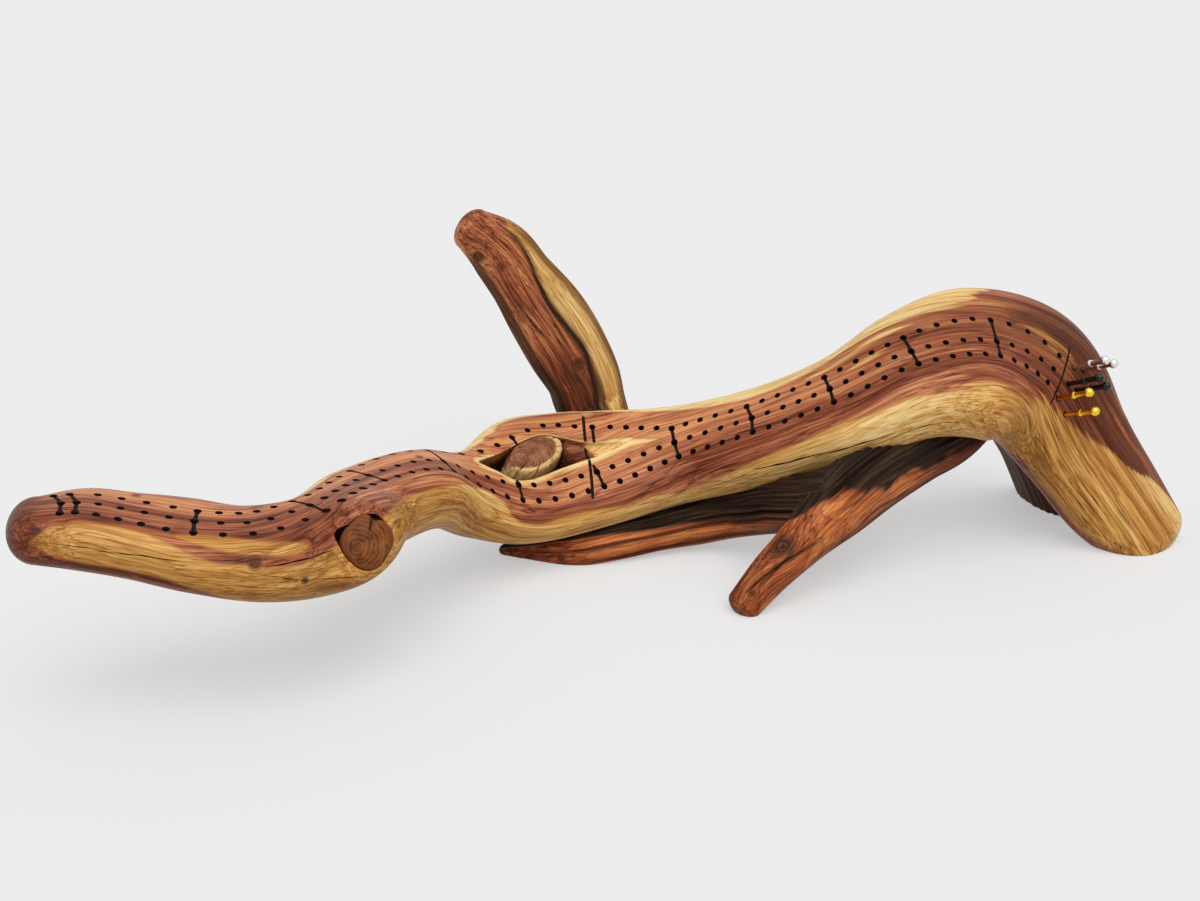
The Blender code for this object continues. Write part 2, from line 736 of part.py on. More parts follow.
def main():
    for thing in list(bpy.data.objects):
        bpy.data.objects.remove(thing)
    board = collection("cribbage_board")
    helpers = collection("cutters")
    heartwood = finish("heartwood", (0.30, 0.10, 0.05), 0.35)
    dark_wood = finish("dark_knot", (0.14, 0.05, 0.03), 0.45)
    pale_wood = finish("birch_dowel", (0.62, 0.45, 0.27), 0.6)
    metals = {
        "silver": finish("chrome", (0.85, 0.85, 0.86), 0.08, 1.0),
        "black": finish("black_lacquer", (0.012, 0.012, 0.014), 0.15),
        "gold": finish("polished_brass", (0.92, 0.66, 0.12), 0.12, 1.0),
    }

    trunk = Trunk()
    body = trunk_loft(trunk, "trunk_board", board)
    body.data.materials.append(heartwood)
    grown = hide(trunk_loft(trunk, "trunk_clearance", helpers, clearance))
    floor = floor_block(helpers)
    for cutter in (bores(trunk, helpers), hollow(trunk, helpers), floor):
        cut(body, cutter)

    for name, (centre, wide, high, axis, sizes, seam) in knot_places(trunk).items():
        plug = knot(name, centre, wide, high, axis, sizes, board)
        plug.data.materials.append(dark_wood)
        width, height, below, above = sizes
        socket_sizes = (width + 2 * seam, height + 2 * seam, below + clearance, above + overrun)
        socket = hide(knot(name + "_socket", centre, wide, high, axis, socket_sizes, helpers))
        cut(body, socket)
        rim = plug.modifiers.new("rim", "BEVEL")
        rim.width = knot_rounding
        rim.segments = 2
        rim.limit_method = "ANGLE"
        rim.angle_limit = math.radians(60)

    carried = limbs(trunk)
    pieces = {name: limb.loft(name, board) for name, limb in carried.items()}
    prop_grown = hide(carried["prop_limb"].loft("prop_clearance", helpers, clearance))
    for name, piece in pieces.items():
        piece.data.materials.append(heartwood)
        cut(piece, grown)
        cut(piece, floor)
        if name in ("under_limb", "rear_leg"):
            cut(piece, prop_grown)
    joints = {
        "upright_dowel": ("upright_limb", body, trunk.holds),
        "prop_dowel": ("prop_limb", body, trunk.holds),
        "rear_dowel": ("rear_leg", body, trunk.holds),
        "fork_dowel": ("under_limb", pieces["prop_limb"], carried["prop_limb"].holds),
    }
    for name, (limb_name, holder, holds) in joints.items():
        middle, axis = leaving(carried[limb_name], holds)
        dowel, bore = joint_dowel(name, middle, axis, board, helpers)
        dowel.data.materials.append(pale_wood)
        cut(holder, bore)
        cut(pieces[limb_name], bore)
        if limb_name == "rear_leg":
            cut(pieces["prop_limb"], bore)  # on a longer trunk this dowel passes through its root

    colours = ("gold", "gold", "black", "black", "silver", "silver")
    for i, ((place, across), colour) in enumerate(zip(parking_points(trunk), colours)):
        peg(f"peg_{colour}_{i % 2 + 1}", place, across, trunk, metals[colour], board)


main()
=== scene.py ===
"""A freeform cribbage board of red cedar: a winding trunk on four limbs, with burnt peg holes and street
lines along its deck, two sawn knots, and six turned metal pegs parked behind the start line."""

import math

import bpy
import numpy as np
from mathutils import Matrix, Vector, kdtree


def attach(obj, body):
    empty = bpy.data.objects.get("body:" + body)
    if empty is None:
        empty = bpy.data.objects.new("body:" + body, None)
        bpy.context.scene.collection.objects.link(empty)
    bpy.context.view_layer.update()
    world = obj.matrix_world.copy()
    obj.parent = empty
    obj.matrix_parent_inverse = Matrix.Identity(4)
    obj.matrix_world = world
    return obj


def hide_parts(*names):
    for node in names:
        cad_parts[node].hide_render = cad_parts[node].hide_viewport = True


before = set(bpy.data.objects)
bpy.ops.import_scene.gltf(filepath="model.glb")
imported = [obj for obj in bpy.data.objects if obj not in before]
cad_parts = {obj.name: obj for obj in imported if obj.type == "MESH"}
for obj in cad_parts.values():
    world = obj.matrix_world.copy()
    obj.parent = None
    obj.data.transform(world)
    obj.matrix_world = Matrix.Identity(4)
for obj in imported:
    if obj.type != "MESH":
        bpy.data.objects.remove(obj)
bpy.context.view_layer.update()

# The trunk's stations, from the nose to the heel: the middle track's place, the deck's tilt in degrees, its
# front and back widths, and the thickness, as shares of the lengths below.
trunk_stations = (
    (-1.0, -0.78, 0.825, 2, 0.34, 0.38, 0.54),
    (-0.95, -0.77, 0.815, 2, 0.44, 0.52, 0.6),
    (-0.87, -0.82, 0.765, 4, 0.44, 0.58, 0.62),
    (-0.8, -0.89, 0.725, 6, 0.46, 0.64, 0.66),
    (-0.722, -0.92, 0.7, 6, 0.52, 0.6, 0.74),
    (-0.637, -0.8, 0.692, 6, 0.62, 0.44, 0.84),
    (-0.517, -0.45, 0.667, 4, 0.54, 0.5, 0.74),
    (-0.373, -0.2, 0.6, 15, 0.52, 0.46, 0.7),
    (-0.307, -0.14, 0.5, 26, 0.48, 0.52, 0.7),
    (-0.233, -0.1, 0.417, 34, 0.48, 0.92, 0.7),
    (-0.083, -0.03, 0.4, 33, 0.48, 1.0, 0.66),
    (0.06, -0.05, 0.492, 35, 0.52, 0.64, 0.76),
    (0.17, -0.29, 0.633, 35, 0.58, 0.58, 0.8),
    (0.28, -0.54, 0.8, 32, 0.62, 0.62, 0.87),
    (0.403, -0.69, 0.967, 28, 0.72, 0.78, 0.98),
    (0.563, -0.75, 0.983, 38, 0.88, 0.92, 0.98),
    (0.667, -0.79, 0.86, 49, 0.84, 0.9, 0.94),
    (0.76, -0.94, 0.5, 55, 0.66, 0.6, 0.88),
    (0.833, -1.06, 0.22, 54, 0.58, 0.52, 0.8),
    (0.868, -1.13, 0.08, 52, 0.46, 0.46, 0.66),
)
trunk_scale = (0.3, 0.1, 0.12, 1, 0.05, 0.05, 0.045)
trunk_middle = (0.0161, 0.024)

hole_radius = 0.0017
hole_depth = 0.0095
track_gap = 0.0095
parking_pitch = 0.01
row_shares = (
    (1, 0.0), (10, 0.155), (20, 0.314), (30, 0.4735), (40, 0.643), (46, 0.7521), (50, 0.8195),
    (54, 0.8962), (58, 0.9688), (60, 1.0),
)
detour_shares = (
    (1, 0.0, 0.0), (3, 0.12, 0.0), (8, 0.12, 0.0), (11, 0.0, 0.0), (25, 0.0, 0.01),
    (27, 0.24, 0.05), (29, 0.52, 0.1), (31, 0.8, 0.125), (33, 1.0, 0.145), (35, 0.8, 0.085),
    (37, 0.42, 0.04), (39, 0.2, 0.0), (43, 0.17, 0.0), (46, 0.0, 0.0), (49, 0.0, 0.005),
    (51, 0.0, -0.034), (53, 0.0, -0.012), (55, 0.0, 0.012), (57, 0.0, -0.004), (59, 0.0, -0.012),
    (60, 0.0, -0.038), (61, 0.0, -0.038),
)
# The burnt lines, in metres. For the two streets beside the hollow: how far the front part runs past the
# middle hole, as a share of the way to it, and how the back part leaves the back hole.
line_rings = 34
line_width = 0.0018
line_depth = 0.00045
blob_width = 0.0019
blob_reach = 0.0017
split_streets = {30: (0.5, (-0.0035, 0.0105)), 35: (0.4, (0.0015, 0.0065))}
# The skunk line, in metres along and across: behind the hollow, in front of it, and down on its shelf.
skunk_line = (
    ((0.3201, -0.0376), (0.3134, -0.02), 0.0),
    ((0.3103, -0.0085), (0.3021, 0.014), 0.0),
    ((0.3134, -0.02), (0.3107, -0.0095), -0.0036),
)
# The parked pegs' holes: how far across, in tracks, and how far behind the start, in steps of the pitch.
parking_shares = ((1.05, 0.0), (1.1, 1.05), (-0.12, 0.0), (-0.35, 0.6), (-1.15, -0.25), (-1.58, 0.2))

# The hollow's outline: shares of its length along the deck and of its width away from the middle track.
hollow_length = 0.09
hollow_width = 0.028
hollow_depth = 0.017
hollow_edge = 0.003
hollow_rim = 0.0067
hollow_row = 37.12
hollow_shares = (
    (0.0, 0.28), (0.07, 0.45), (0.16, 0.6), (0.28, 0.8), (0.42, 0.96), (0.54, 1.0), (0.64, 0.86),
    (0.75, 0.64), (0.87, 0.46), (1.0, 0.29), (0.86, 0.22), (0.7, 0.2), (0.55, 0.16), (0.42, 0.08),
    (0.32, 0.01), (0.21, 0.0), (0.12, 0.12),
)

# Where the pale sapwood lies on the trunk: millimetres along it and the share of the way round it, counted
# from the deck's middle to the front. The front band lies between its two edges, the back band behind one.
front_edge = (
    (-12, 0.27), (-4, 0.235), (0, 0.2), (4, 0.166), (8, 0.151), (12, 0.146), (19, 0.139), (34, 0.126),
    (49, 0.137), (57, 0.155), (63, 0.172), (72, 0.191), (80, 0.193), (88, 0.2), (96, 0.203),
    (105, 0.19), (112, 0.18), (125, 0.165), (141, 0.157), (164, 0.163), (190, 0.158), (207, 0.147),
    (227, 0.108), (239, 0.095), (247, 0.112), (253, 0.132), (258, 0.166), (267, 0.18), (290, 0.165),
    (305, 0.173), (323, 0.19), (338, 0.216), (356, 0.202), (383, 0.18), (402, 0.16), (422, 0.15),
    (444, 0.134), (463, 0.143), (488, 0.145), (506, 0.138), (520, 0.115), (540, 0.115), (557, 0.11),
    (576, 0.098), (591, 0.075), (602, 0.05), (613, 0.025), (623, 0.0), (631, -0.025), (647, -0.056),
    (667, -0.125), (690, -0.17),
)
front_lower_edge = (
    (-12, 0.22), (-4, 0.232), (0, 0.244), (4, 0.262), (8, 0.275), (18, 0.283), (40, 0.277), (58, 0.277),
    (66, 0.298), (80, 0.35), (105, 0.4), (260, 0.41), (450, 0.42), (530, 0.39), (570, 0.33),
    (597, 0.275), (607, 0.24), (623, 0.25), (650, 0.243), (663, 0.235), (674, 0.214), (690, 0.165),
)
back_edge = (
    (-12, 0.3), (45, 0.26), (66, 0.19), (73, 0.16), (85, 0.15), (98, 0.14), (109, 0.135),
    (122, 0.13), (138, 0.12), (153, 0.115), (163, 0.115), (185, 0.13), (215, 0.14), (243, 0.15),
    (260, 0.15), (269, 0.16), (285, 0.165), (302, 0.17), (318, 0.165), (342, 0.15), (368, 0.115),
    (398, 0.093), (427, 0.1), (448, 0.112), (462, 0.118), (485, 0.1), (508, 0.088), (519, 0.085),
    (528, 0.102), (538, 0.142), (548, 0.19), (556, 0.28), (566, 0.45), (690, 0.45),
)
# Pale streaks on the red deck: millimetres along it, then the middle and the half width as shares round it.
pale_streaks = (
    (
        (51, 0.117, -0.012), (60, 0.116, 0.012), (72, 0.123, 0.028), (83, 0.135, 0.027), (95, 0.15, 0.02),
        (105, 0.156, -0.012),
    ),
    (
        (308, 0.183, -0.01), (323, 0.186, 0.006), (335, 0.195, 0.012), (344, 0.206, 0.01),
        (354, 0.21, -0.012),
    ),
    (
        (550, -0.068, -0.01), (562, -0.058, 0.008), (573, -0.052, 0.011), (582, -0.054, 0.008),
        (592, -0.05, -0.01),
    ),
    (
        (418, -0.078, -0.01), (436, -0.08, 0.005), (462, -0.084, 0.008), (486, -0.08, 0.006),
        (500, -0.076, -0.01),
    ),
    (
        (446, -0.03, -0.01), (458, -0.032, 0.005), (472, -0.03, 0.007), (488, -0.026, -0.01),
    ),
    (
        (308, -0.01, -0.01), (318, -0.012, 0.01), (328, -0.014, 0.02), (338, -0.012, 0.012),
        (348, -0.006, 0.005), (357, 0.0, -0.006),
    ),
)
# Open cracks: millimetres along and share round at each end, and the width in millimetres.
cracks = (
    (6, 0.222, 30, 0.222, 0.35),
    (27, 0.223, 61, 0.198, 0.45),
    (84, 0.197, 108, 0.186, 0.6),
    (84, 0.222, 100, 0.258, 0.3),
    (99, 0.255, 124, 0.3, 0.3),
    (360, 0.222, 402, 0.19, 0.35),
    (396, 0.188, 434, 0.207, 0.9),
    (426, 0.206, 466, 0.224, 0.8),
    (452, 0.238, 505, 0.232, 0.5),
    (566, 0.15, 592, 0.152, 0.25),
    (594, 0.146, 622, 0.156, 0.3),
    (602, 0.208, 640, 0.2, 0.35),
    (616, 0.168, 650, 0.166, 0.3),
    (628, 0.118, 662, 0.122, 0.35),
    (632, 0.146, 664, 0.142, 0.3),
    (640, 0.192, 668, 0.184, 0.3),
    (652, 0.06, 674, 0.07, 0.25),
)
# Small knots: millimetres along, share round, radius in millimetres.
small_knots = ((82, 0.185, 2.1), (97, 0.252, 1.3), (37, -0.093, 1.5), (203, -0.045, 1.4))


def spline(places, values, wanted):
    """Values at the wanted places, on a smooth curve through the given ones, with weighted mean slopes."""
    places, values, wanted = (np.asarray(a, float) for a in (places, values, wanted))
    if values.ndim == 1:
        return spline(places, values[:, None], wanted)[:, 0]
    gaps = np.diff(places)[:, None]
    rise = np.diff(values, axis=0) / gaps
    inner = (gaps[1:] * rise[:-1] + gaps[:-1] * rise[1:]) / (gaps[1:] + gaps[:-1])
    slopes = np.vstack([rise[:1], inner, rise[-1:]])
    k = np.clip(np.searchsorted(places, wanted, side="right") - 1, 0, len(gaps) - 1)
    t = ((wanted - places[k]) / gaps[k, 0])[:, None]
    start = (1 + 2 * t) * (1 - t) ** 2 * values[k] + t * (1 - t) ** 2 * gaps[k] * slopes[k]
    return start + t**2 * (3 - 2 * t) * values[k + 1] - t**2 * (1 - t) * gaps[k] * slopes[k + 1]


def keyed(table, wanted):
    """One column of a table along its first one, held at the ends: one value for each wanted place."""
    table = np.array(table, float)
    inside = np.clip(wanted, table[0, 0], table[-1, 0])
    found = spline(table[:, 0], table[:, 1:], inside)
    return found[:, 0] if found.shape[1] == 1 else found


def unit(vectors):
    return vectors / np.linalg.norm(vectors, axis=-1, keepdims=True)


def soft(low, high, values):
    """A smooth step: 0 below low, 1 above high, and 3t^2 - 2t^3 between them."""
    t = np.clip((values - low) / (high - low), 0, 1)
    return t * t * (3 - 2 * t)


def bell(x):
    """A bump: 1 at 0, and falling to 0 on both sides."""
    return np.exp(-(x**2))


def wrapped(angle):
    """An angle brought to between minus and plus half a turn."""
    return (angle + math.pi) % (2 * math.pi) - math.pi


def above_floor(points):
    """Points with those below the floor brought up to it."""
    return np.concatenate([points[..., :2], np.maximum(points[..., 2:], 0)], axis=-1)


def nearest(points, line):
    """For each point, the number of the closest point of a line."""
    square = (line**2).sum(axis=1)
    parts = np.array_split(points, max(1, len(points) // 20000))
    return np.concatenate([np.argmin(square - 2 * part @ line.T, axis=1) for part in parts])


def start_places(points, rings, places):
    """The place of the nearest ring point, for each point: where the search for its own place starts."""
    tree = kdtree.KDTree(rings.shape[0] * rings.shape[1])
    for number, point in enumerate(rings.reshape(-1, 3)):
        tree.insert(point, number)
    tree.balance()
    found = np.array([tree.find(point)[1] for point in points])
    return np.asarray(places)[found // rings.shape[1]]


def settle(points, lengths, frames, start, slack):
    """Each point's place along a line of frames: it starts at the closest frame or at the given place, and
    steps along by the distance that the point lies ahead of its frame, but no further than the slack from a
    given place. Then how far it lies past an end, its offset from the frame, and the frame's parts."""
    last = len(lengths) - 1
    if start is None:
        start, slack = lengths[nearest(points, frames[0][:, :3])], 1.0
    low_end, high_end = np.maximum(start - slack, 0), np.minimum(start + slack, lengths[-1])
    place = start
    for _ in range(8):
        number = np.minimum(np.interp(place, lengths, np.arange(last + 1.0)), last - 0.001)
        low = number.astype(int)
        part = (number - low)[:, None]
        here = [values[low] * (1 - part) + values[low + 1] * part for values in frames]
        away = points - here[0][:, :3]
        left = (away * here[1]).sum(axis=1)
        place = np.clip(place + 0.8 * left, low_end, high_end)
    return place, np.where((place <= 0) | (place >= lengths[-1]), left, 0), away, here


def section(here):
    """A station's half width, how far its middle lies to the front, and its half thickness."""
    return (here[..., 4] + here[..., 5]) / 2, (here[..., 4] - here[..., 5]) / 2, here[..., 6] / 2


def outline(angle, top, bottom):
    """A section's outline at each angle: a superellipse, with one power above its middle and one below."""
    power = np.where(np.sin(angle) >= 0, top, bottom)
    across = np.sign(np.cos(angle)) * np.abs(np.cos(angle)) ** (2 / power)
    return across, np.sign(np.sin(angle)) * np.abs(np.sin(angle)) ** (2 / power)


def ripple(along, turn, seed, grooves=(5, 14), drift=40.0, waves=7):
    """Relief of weathered wood, about -1 to 1: sine waves round the limb that each drift along it."""
    chance = np.random.default_rng(seed)
    total = 0.0
    for _ in range(waves):
        count = chance.integers(*grooves)
        slope, bend, phase, other = chance.uniform(-1, 1, 4)
        sway = 0.7 * np.sin(drift * (1 + 0.5 * bend) * along + 6 * other)
        total = total + np.sin(count * turn + drift * slope * along + 6 * phase + sway)
    return total / waves**0.5 / 1.4


class Trunk:
    """The trunk's surface: a place along it, a place across its deck, and a share of the way round it."""

    powers = (3.0, 2.2)
    reach = 0.032
    nose = 0.012
    heel = 0.014

    def __init__(self):
        self.values = np.array(trunk_stations) * trunk_scale
        self.values[:, :2] += trunk_middle
        chords = np.linalg.norm(np.diff(self.values[:, :3], axis=0), axis=1)
        self.places = np.concatenate([[0], np.cumsum(chords)])
        self.length = self.places[-1]
        self.angles = math.pi / 2 - np.linspace(0, 2 * math.pi, 2001)
        across, up = outline(self.angles, *self.powers)
        step = np.hypot(np.diff(0.028 * across), np.diff(0.018 * up))
        self.shares = np.concatenate([[0], np.cumsum(step)]) / step.sum()
        self.fine = np.linspace(0, self.length, 1400)
        self.fine_frames = self.frame(self.fine)
        turn, lift = math.radians(8), math.radians(18)
        level = math.cos(lift)
        self.knot_axis = np.array([-math.sin(turn) * level, -math.cos(turn) * level, math.sin(lift)])
        self.knot_centre = self.core(row_place(self, [49.12]), 0.34, 0.75)
        while self.holds(self.knot_centre):
            self.knot_centre = self.knot_centre + 0.0003 * self.knot_axis

    def frame(self, places):
        """Station values, and the directions along the trunk, out of its deck and to its front."""
        places = np.atleast_1d(places).astype(float)
        ahead = spline(self.places, self.values, np.minimum(places + self.reach, self.length))
        behind = spline(self.places, self.values, np.maximum(places - self.reach, 0))
        along = unit(ahead[:, :3] - behind[:, :3])
        here = spline(self.places, self.values, places)
        upright = unit(np.array([0, 0, 1]) - along[:, 2:] * along)
        front = np.cross(along, upright)
        tilt = np.radians(here[:, 3:4])
        out = upright * np.cos(tilt) + front * np.sin(tilt)
        return here, along, out, front * np.cos(tilt) - upright * np.sin(tilt)

    def rings(self, places, shares, grow=0.0):
        """Section rings at the places, through the given shares of the way round from the deck's middle."""
        here, along, out, front = self.frame(places)
        across, up = outline(np.interp(shares, self.shares, self.angles), *self.powers)
        half, shift, deep = (part[:, None] for part in section(here))
        side = (shift + (half + grow) * across)[..., None] * front[:, None]
        rise = ((deep + grow) * up - deep)[..., None] * out[:, None]
        return here[:, None, :3] + side + rise, here[:, :3] - deep * out + shift * front, along

    def collar(self, points):
        """Points drawn to the plane of the face knot, where the wood has swollen round it: the pull is
        exp(-(distance from the axis / 20 mm)^4 - (depth below the plane / 36 mm)^6)."""
        away = points - self.knot_centre
        height = away @ self.knot_axis
        aside = np.linalg.norm(away - height[..., None] * self.knot_axis, axis=-1)
        pull = np.exp(-((aside / 0.02) ** 4) - (np.minimum(height, 0) / 0.036) ** 6)
        return points - (pull * height)[..., None] * self.knot_axis

    def sink(self, here, across):
        """How far the deck's surface lies below its middle line."""
        half, shift, deep = section(here)
        share = np.minimum(np.abs(across - shift) / half, 1)
        return deep * (1 - (1 - share ** self.powers[0]) ** (1 / self.powers[0]))

    def deck(self, place, across, lift=0.0):
        """Points of the deck, lifted out of it, with the directions along it and out of it."""
        here, along, out, front = self.frame(place)
        across = np.broadcast_to(across, len(here))
        height = np.broadcast_to(lift, len(here)) - self.sink(here, across)
        return here[:, :3] + across[:, None] * front + height[:, None] * out, along, out

    def core(self, place, sink_share, across_share):
        """A point inside the trunk, below the middle of its deck."""
        here, _, out, front = (part[0] for part in self.frame(place))
        half, shift, deep = section(here)
        return here[:3] - sink_share * 2 * deep * out + (shift + across_share * half) * front

    def holds(self, point):
        """Whether a point lies inside the trunk."""
        lines = self.frame(np.linspace(0, self.length, 40 * len(self.places)))
        closest = np.argmin(np.linalg.norm(point - lines[0][:, :3], axis=1))
        here, _, out, front = (line[closest] for line in lines)
        half, shift, deep = section(here)
        across, lift = (point - here[:3]) @ front - shift, (point - here[:3]) @ out + deep
        return abs(across / half) ** 2.2 + abs(lift / deep) ** 2.2 < 1

    def locate(self, points, start=None):
        """Place along, across and out for each point, and the station values there."""
        place, beyond, away, parts = settle(points, self.fine, self.fine_frames, start, 0.0015)
        here, _, out, front = parts
        return place + beyond, (away * front).sum(axis=1), (away * out).sum(axis=1), here

    def share_round(self, here, across, lift):
        """The share of the way round a section, from the deck's middle: positive to the front."""
        half, shift, deep = section(here)
        x, y = (across - shift) / half, (lift + deep) / deep
        power = np.where(y >= 0, *self.powers) / 2
        angle = np.arctan2(np.sign(y) * np.abs(y) ** power, np.sign(x) * np.abs(x) ** power)
        share = np.interp((math.pi / 2 - angle) % (2 * math.pi), math.pi / 2 - self.angles, self.shares)
        return (share + 0.5) % 1 - 0.5

    def skin(self, place, share):
        """A point of the surface for each pair of a place and a share of the way round."""
        here, _, out, front = self.frame(place)
        across, up = outline(np.interp(np.asarray(share) % 1, self.shares, self.angles), *self.powers)
        half, shift, deep = (part[:, None] for part in section(here))
        middle = here[:, :3] - deep * out + shift * front
        points = middle + half * across[:, None] * front + deep * up[:, None] * out
        return self.collar(points), middle


def row_place(trunk, rows):
    """Where rows lie along the deck: the finish row follows the last scoring one."""
    rows = np.asarray(rows, float)
    keys = np.array(row_shares)
    first = trunk.length - 0.112
    place = first + (0.015 - first) * spline(keys[:, 0], keys[:, 1], np.minimum(rows, 60))
    return np.where(rows > 60, 0.015 - 0.0062, place)


def back_track(rows):
    """How far the back track swings out round the hollow, and how far it runs ahead of its rows."""
    keys = np.array(detour_shares)
    found = spline(keys[:, 0], keys[:, 1:], rows)
    reach = hollow_edge + hollow_width + hollow_rim - track_gap
    return np.maximum(found[:, 0], 0) * reach, found[:, 1] * hollow_length


def track_holes(trunk, rows):
    """(place, across) of the three holes of each row, front track first: (row, track, 2)."""
    rows = np.asarray(rows, float)
    place = row_place(trunk, rows)
    swing, lead = back_track(rows)
    level = np.zeros(len(rows))
    front = np.stack([place, level + track_gap], axis=-1)
    middle = np.stack([place, level], axis=-1)
    return np.stack([front, middle, np.stack([place + lead, -track_gap - swing], axis=-1)], axis=1)


def parking_holes(trunk):
    """(place, across) of the six holes behind the start line, front track first."""
    shares = np.array(parking_shares)
    first = row_place(trunk, [1])[0] + 0.0125
    return np.stack([first + parking_pitch * shares[:, 1], track_gap * shares[:, 0]], axis=-1)


# Meshes.


def solid(name, rings, tips):
    """A mesh of closed forms. Rings are (form, ring, round it, xyz), and tips are (form, end, xyz). Each
    ring is joined to the next and each end ring to its tip. The volume's sign turns the faces outwards."""
    forms, count, around = rings.shape[:3]
    each = count * around
    points = np.concatenate([rings.reshape(forms, each, 3), tips], axis=1).reshape(-1, 3)
    i = around * np.arange(count - 1)[:, None]
    j = np.arange(around)
    k = np.roll(j, -1)
    quads = np.stack([i + j, i + k, i + around + k, i + around + j], axis=-1).reshape(-1, 4)
    last = each - around
    start_fan = np.stack([k, j, np.full(around, each)], axis=-1)
    fans = np.concatenate([start_fan, np.stack([last + j, last + k, np.full(around, each + 1)], axis=-1)])
    shift = (each + 2) * np.arange(forms)[:, None, None]
    quads = (quads + shift).reshape(-1, 4)
    fans = (fans + shift).reshape(-1, 3)
    middle = points.mean(axis=0)
    corners = np.concatenate([fans, quads[:, :3], quads[:, [0, 2, 3]]])
    if np.linalg.det(points[corners] - middle).sum() < 0:
        quads, fans = quads[:, ::-1], fans[:, ::-1]
    mesh = bpy.data.meshes.new(name)
    mesh.from_pydata(points.tolist(), [], [*quads.tolist(), *fans.tolist()])
    mesh.shade_smooth()
    made = bpy.data.objects.new(name, mesh)
    bpy.context.scene.collection.objects.link(made)
    return made


def points_of(piece):
    found = np.empty(len(piece.data.vertices) * 3)
    piece.data.vertices.foreach_get("co", found)
    return found.reshape(-1, 3)


def mark(piece, **fields):
    """Stores numbers or vectors on a piece's points, for its material."""
    for name, values in fields.items():
        values = np.ascontiguousarray(values, np.float32)
        kind, slot = ("FLOAT_VECTOR", "vector") if values.ndim == 2 else ("FLOAT", "value")
        piece.data.attributes.new(name, kind, "POINT").data.foreach_set(slot, values.ravel())


def carve(piece, *cutters):
    """Takes closed forms out of a piece and keeps the result."""
    for cutter in cutters:
        modifier = piece.modifiers.new(cutter.name, "BOOLEAN")
        modifier.operation = "DIFFERENCE"
        modifier.solver = "MANIFOLD"
        modifier.object = cutter
    graph = bpy.context.evaluated_depsgraph_get()
    carved = bpy.data.meshes.new_from_object(
        piece.evaluated_get(graph), preserve_all_data_layers=True, depsgraph=graph
    )
    piece.modifiers.clear()
    piece.data = carved
    for cutter in cutters:
        bpy.data.objects.remove(cutter)


def burnt(cutter):
    """Gives a cutter's faces the second material, so that what it cuts is burnt."""
    for material in (cedar, char):
        cutter.data.materials.append(material)
    cutter.data.polygons.foreach_set("material_index", np.ones(len(cutter.data.polygons), np.int32))
    return cutter


def sides(axes):
    """Two directions square to each axis and to each other."""
    helper = np.where(np.abs(axes[:, :1]) < 0.7, [[1.0, 0, 0]], [[0, 1.0, 0]])
    first = unit(np.cross(axes, helper))
    return first, np.cross(axes, first)


def turned(name, feet, axes, profile, around):
    """A profile of (radius, height) turned round each axis from its foot, with a point at each end."""
    profile = np.array(profile)
    angle = np.linspace(0, 2 * math.pi, around, endpoint=False)
    first, second = sides(axes)
    spoke = np.cos(angle)[:, None] * first[:, None] + np.sin(angle)[:, None] * second[:, None]
    radius, height = profile[1:-1, 0][:, None, None], profile[1:-1, 1][:, None, None]
    rings = feet[:, None, None] + radius * spoke[:, None] + height * axes[:, None, None]
    tips = feet[:, None] + profile[[0, -1], 1][:, None] * axes[:, None]
    return solid(name, rings, tips)


def groove(points, out, widths, depth, around=10):
    """A cutter along a line of surface points: a flat oval section of the given width and depth."""
    along = unit(np.gradient(points, axis=0))
    across = unit(np.cross(along, out))
    up = np.cross(across, along)
    angle = np.linspace(0, 2 * math.pi, around, endpoint=False)
    side = (np.asarray(widths)[:, None, None] / 2) * np.cos(angle)[:, None] * across[:, None]
    rise = np.broadcast_to(depth, len(points))[:, None, None] * np.sin(angle)[:, None] * up[:, None]
    ends = np.stack([points[0] - along[0] * 0.0003, points[-1] + along[-1] * 0.0003])
    return (points[:, None] + side + rise)[None], ends[None]


def joined_grooves(name, parts):
    """One cutter from several grooves with the same number of rings."""
    rings, ends = (np.concatenate(group) for group in zip(*parts))
    return burnt(solid(name, rings, ends))


def rounded(ring, centre, along, length, count):
    """Rings that round off an end: from the given ring, a quarter ellipse out to the tip."""
    turns = np.linspace(0, math.pi / 2, count + 1)[1:-1, None, None]
    return centre + (ring - centre) * np.cos(turns) + along * length * np.sin(turns)


def capped(name, rings, centres, along, ends, count):
    """A closed form from rings along it: a quarter ellipse at each end, and cut flat at the floor."""
    start = rounded(rings[0], centres[0], -along[0], ends[0], count)
    stop = rounded(rings[-1], centres[-1], along[-1], ends[1], count)
    tips = np.stack([centres[0] - along[0] * ends[0], centres[-1] + along[-1] * ends[1]])
    rings = np.concatenate([start[::-1], rings, stop])
    return solid(name, above_floor(rings)[None], above_floor(tips)[None])


# Materials.

direct_kinds = ("Camera", "Glossy", "Transmission")


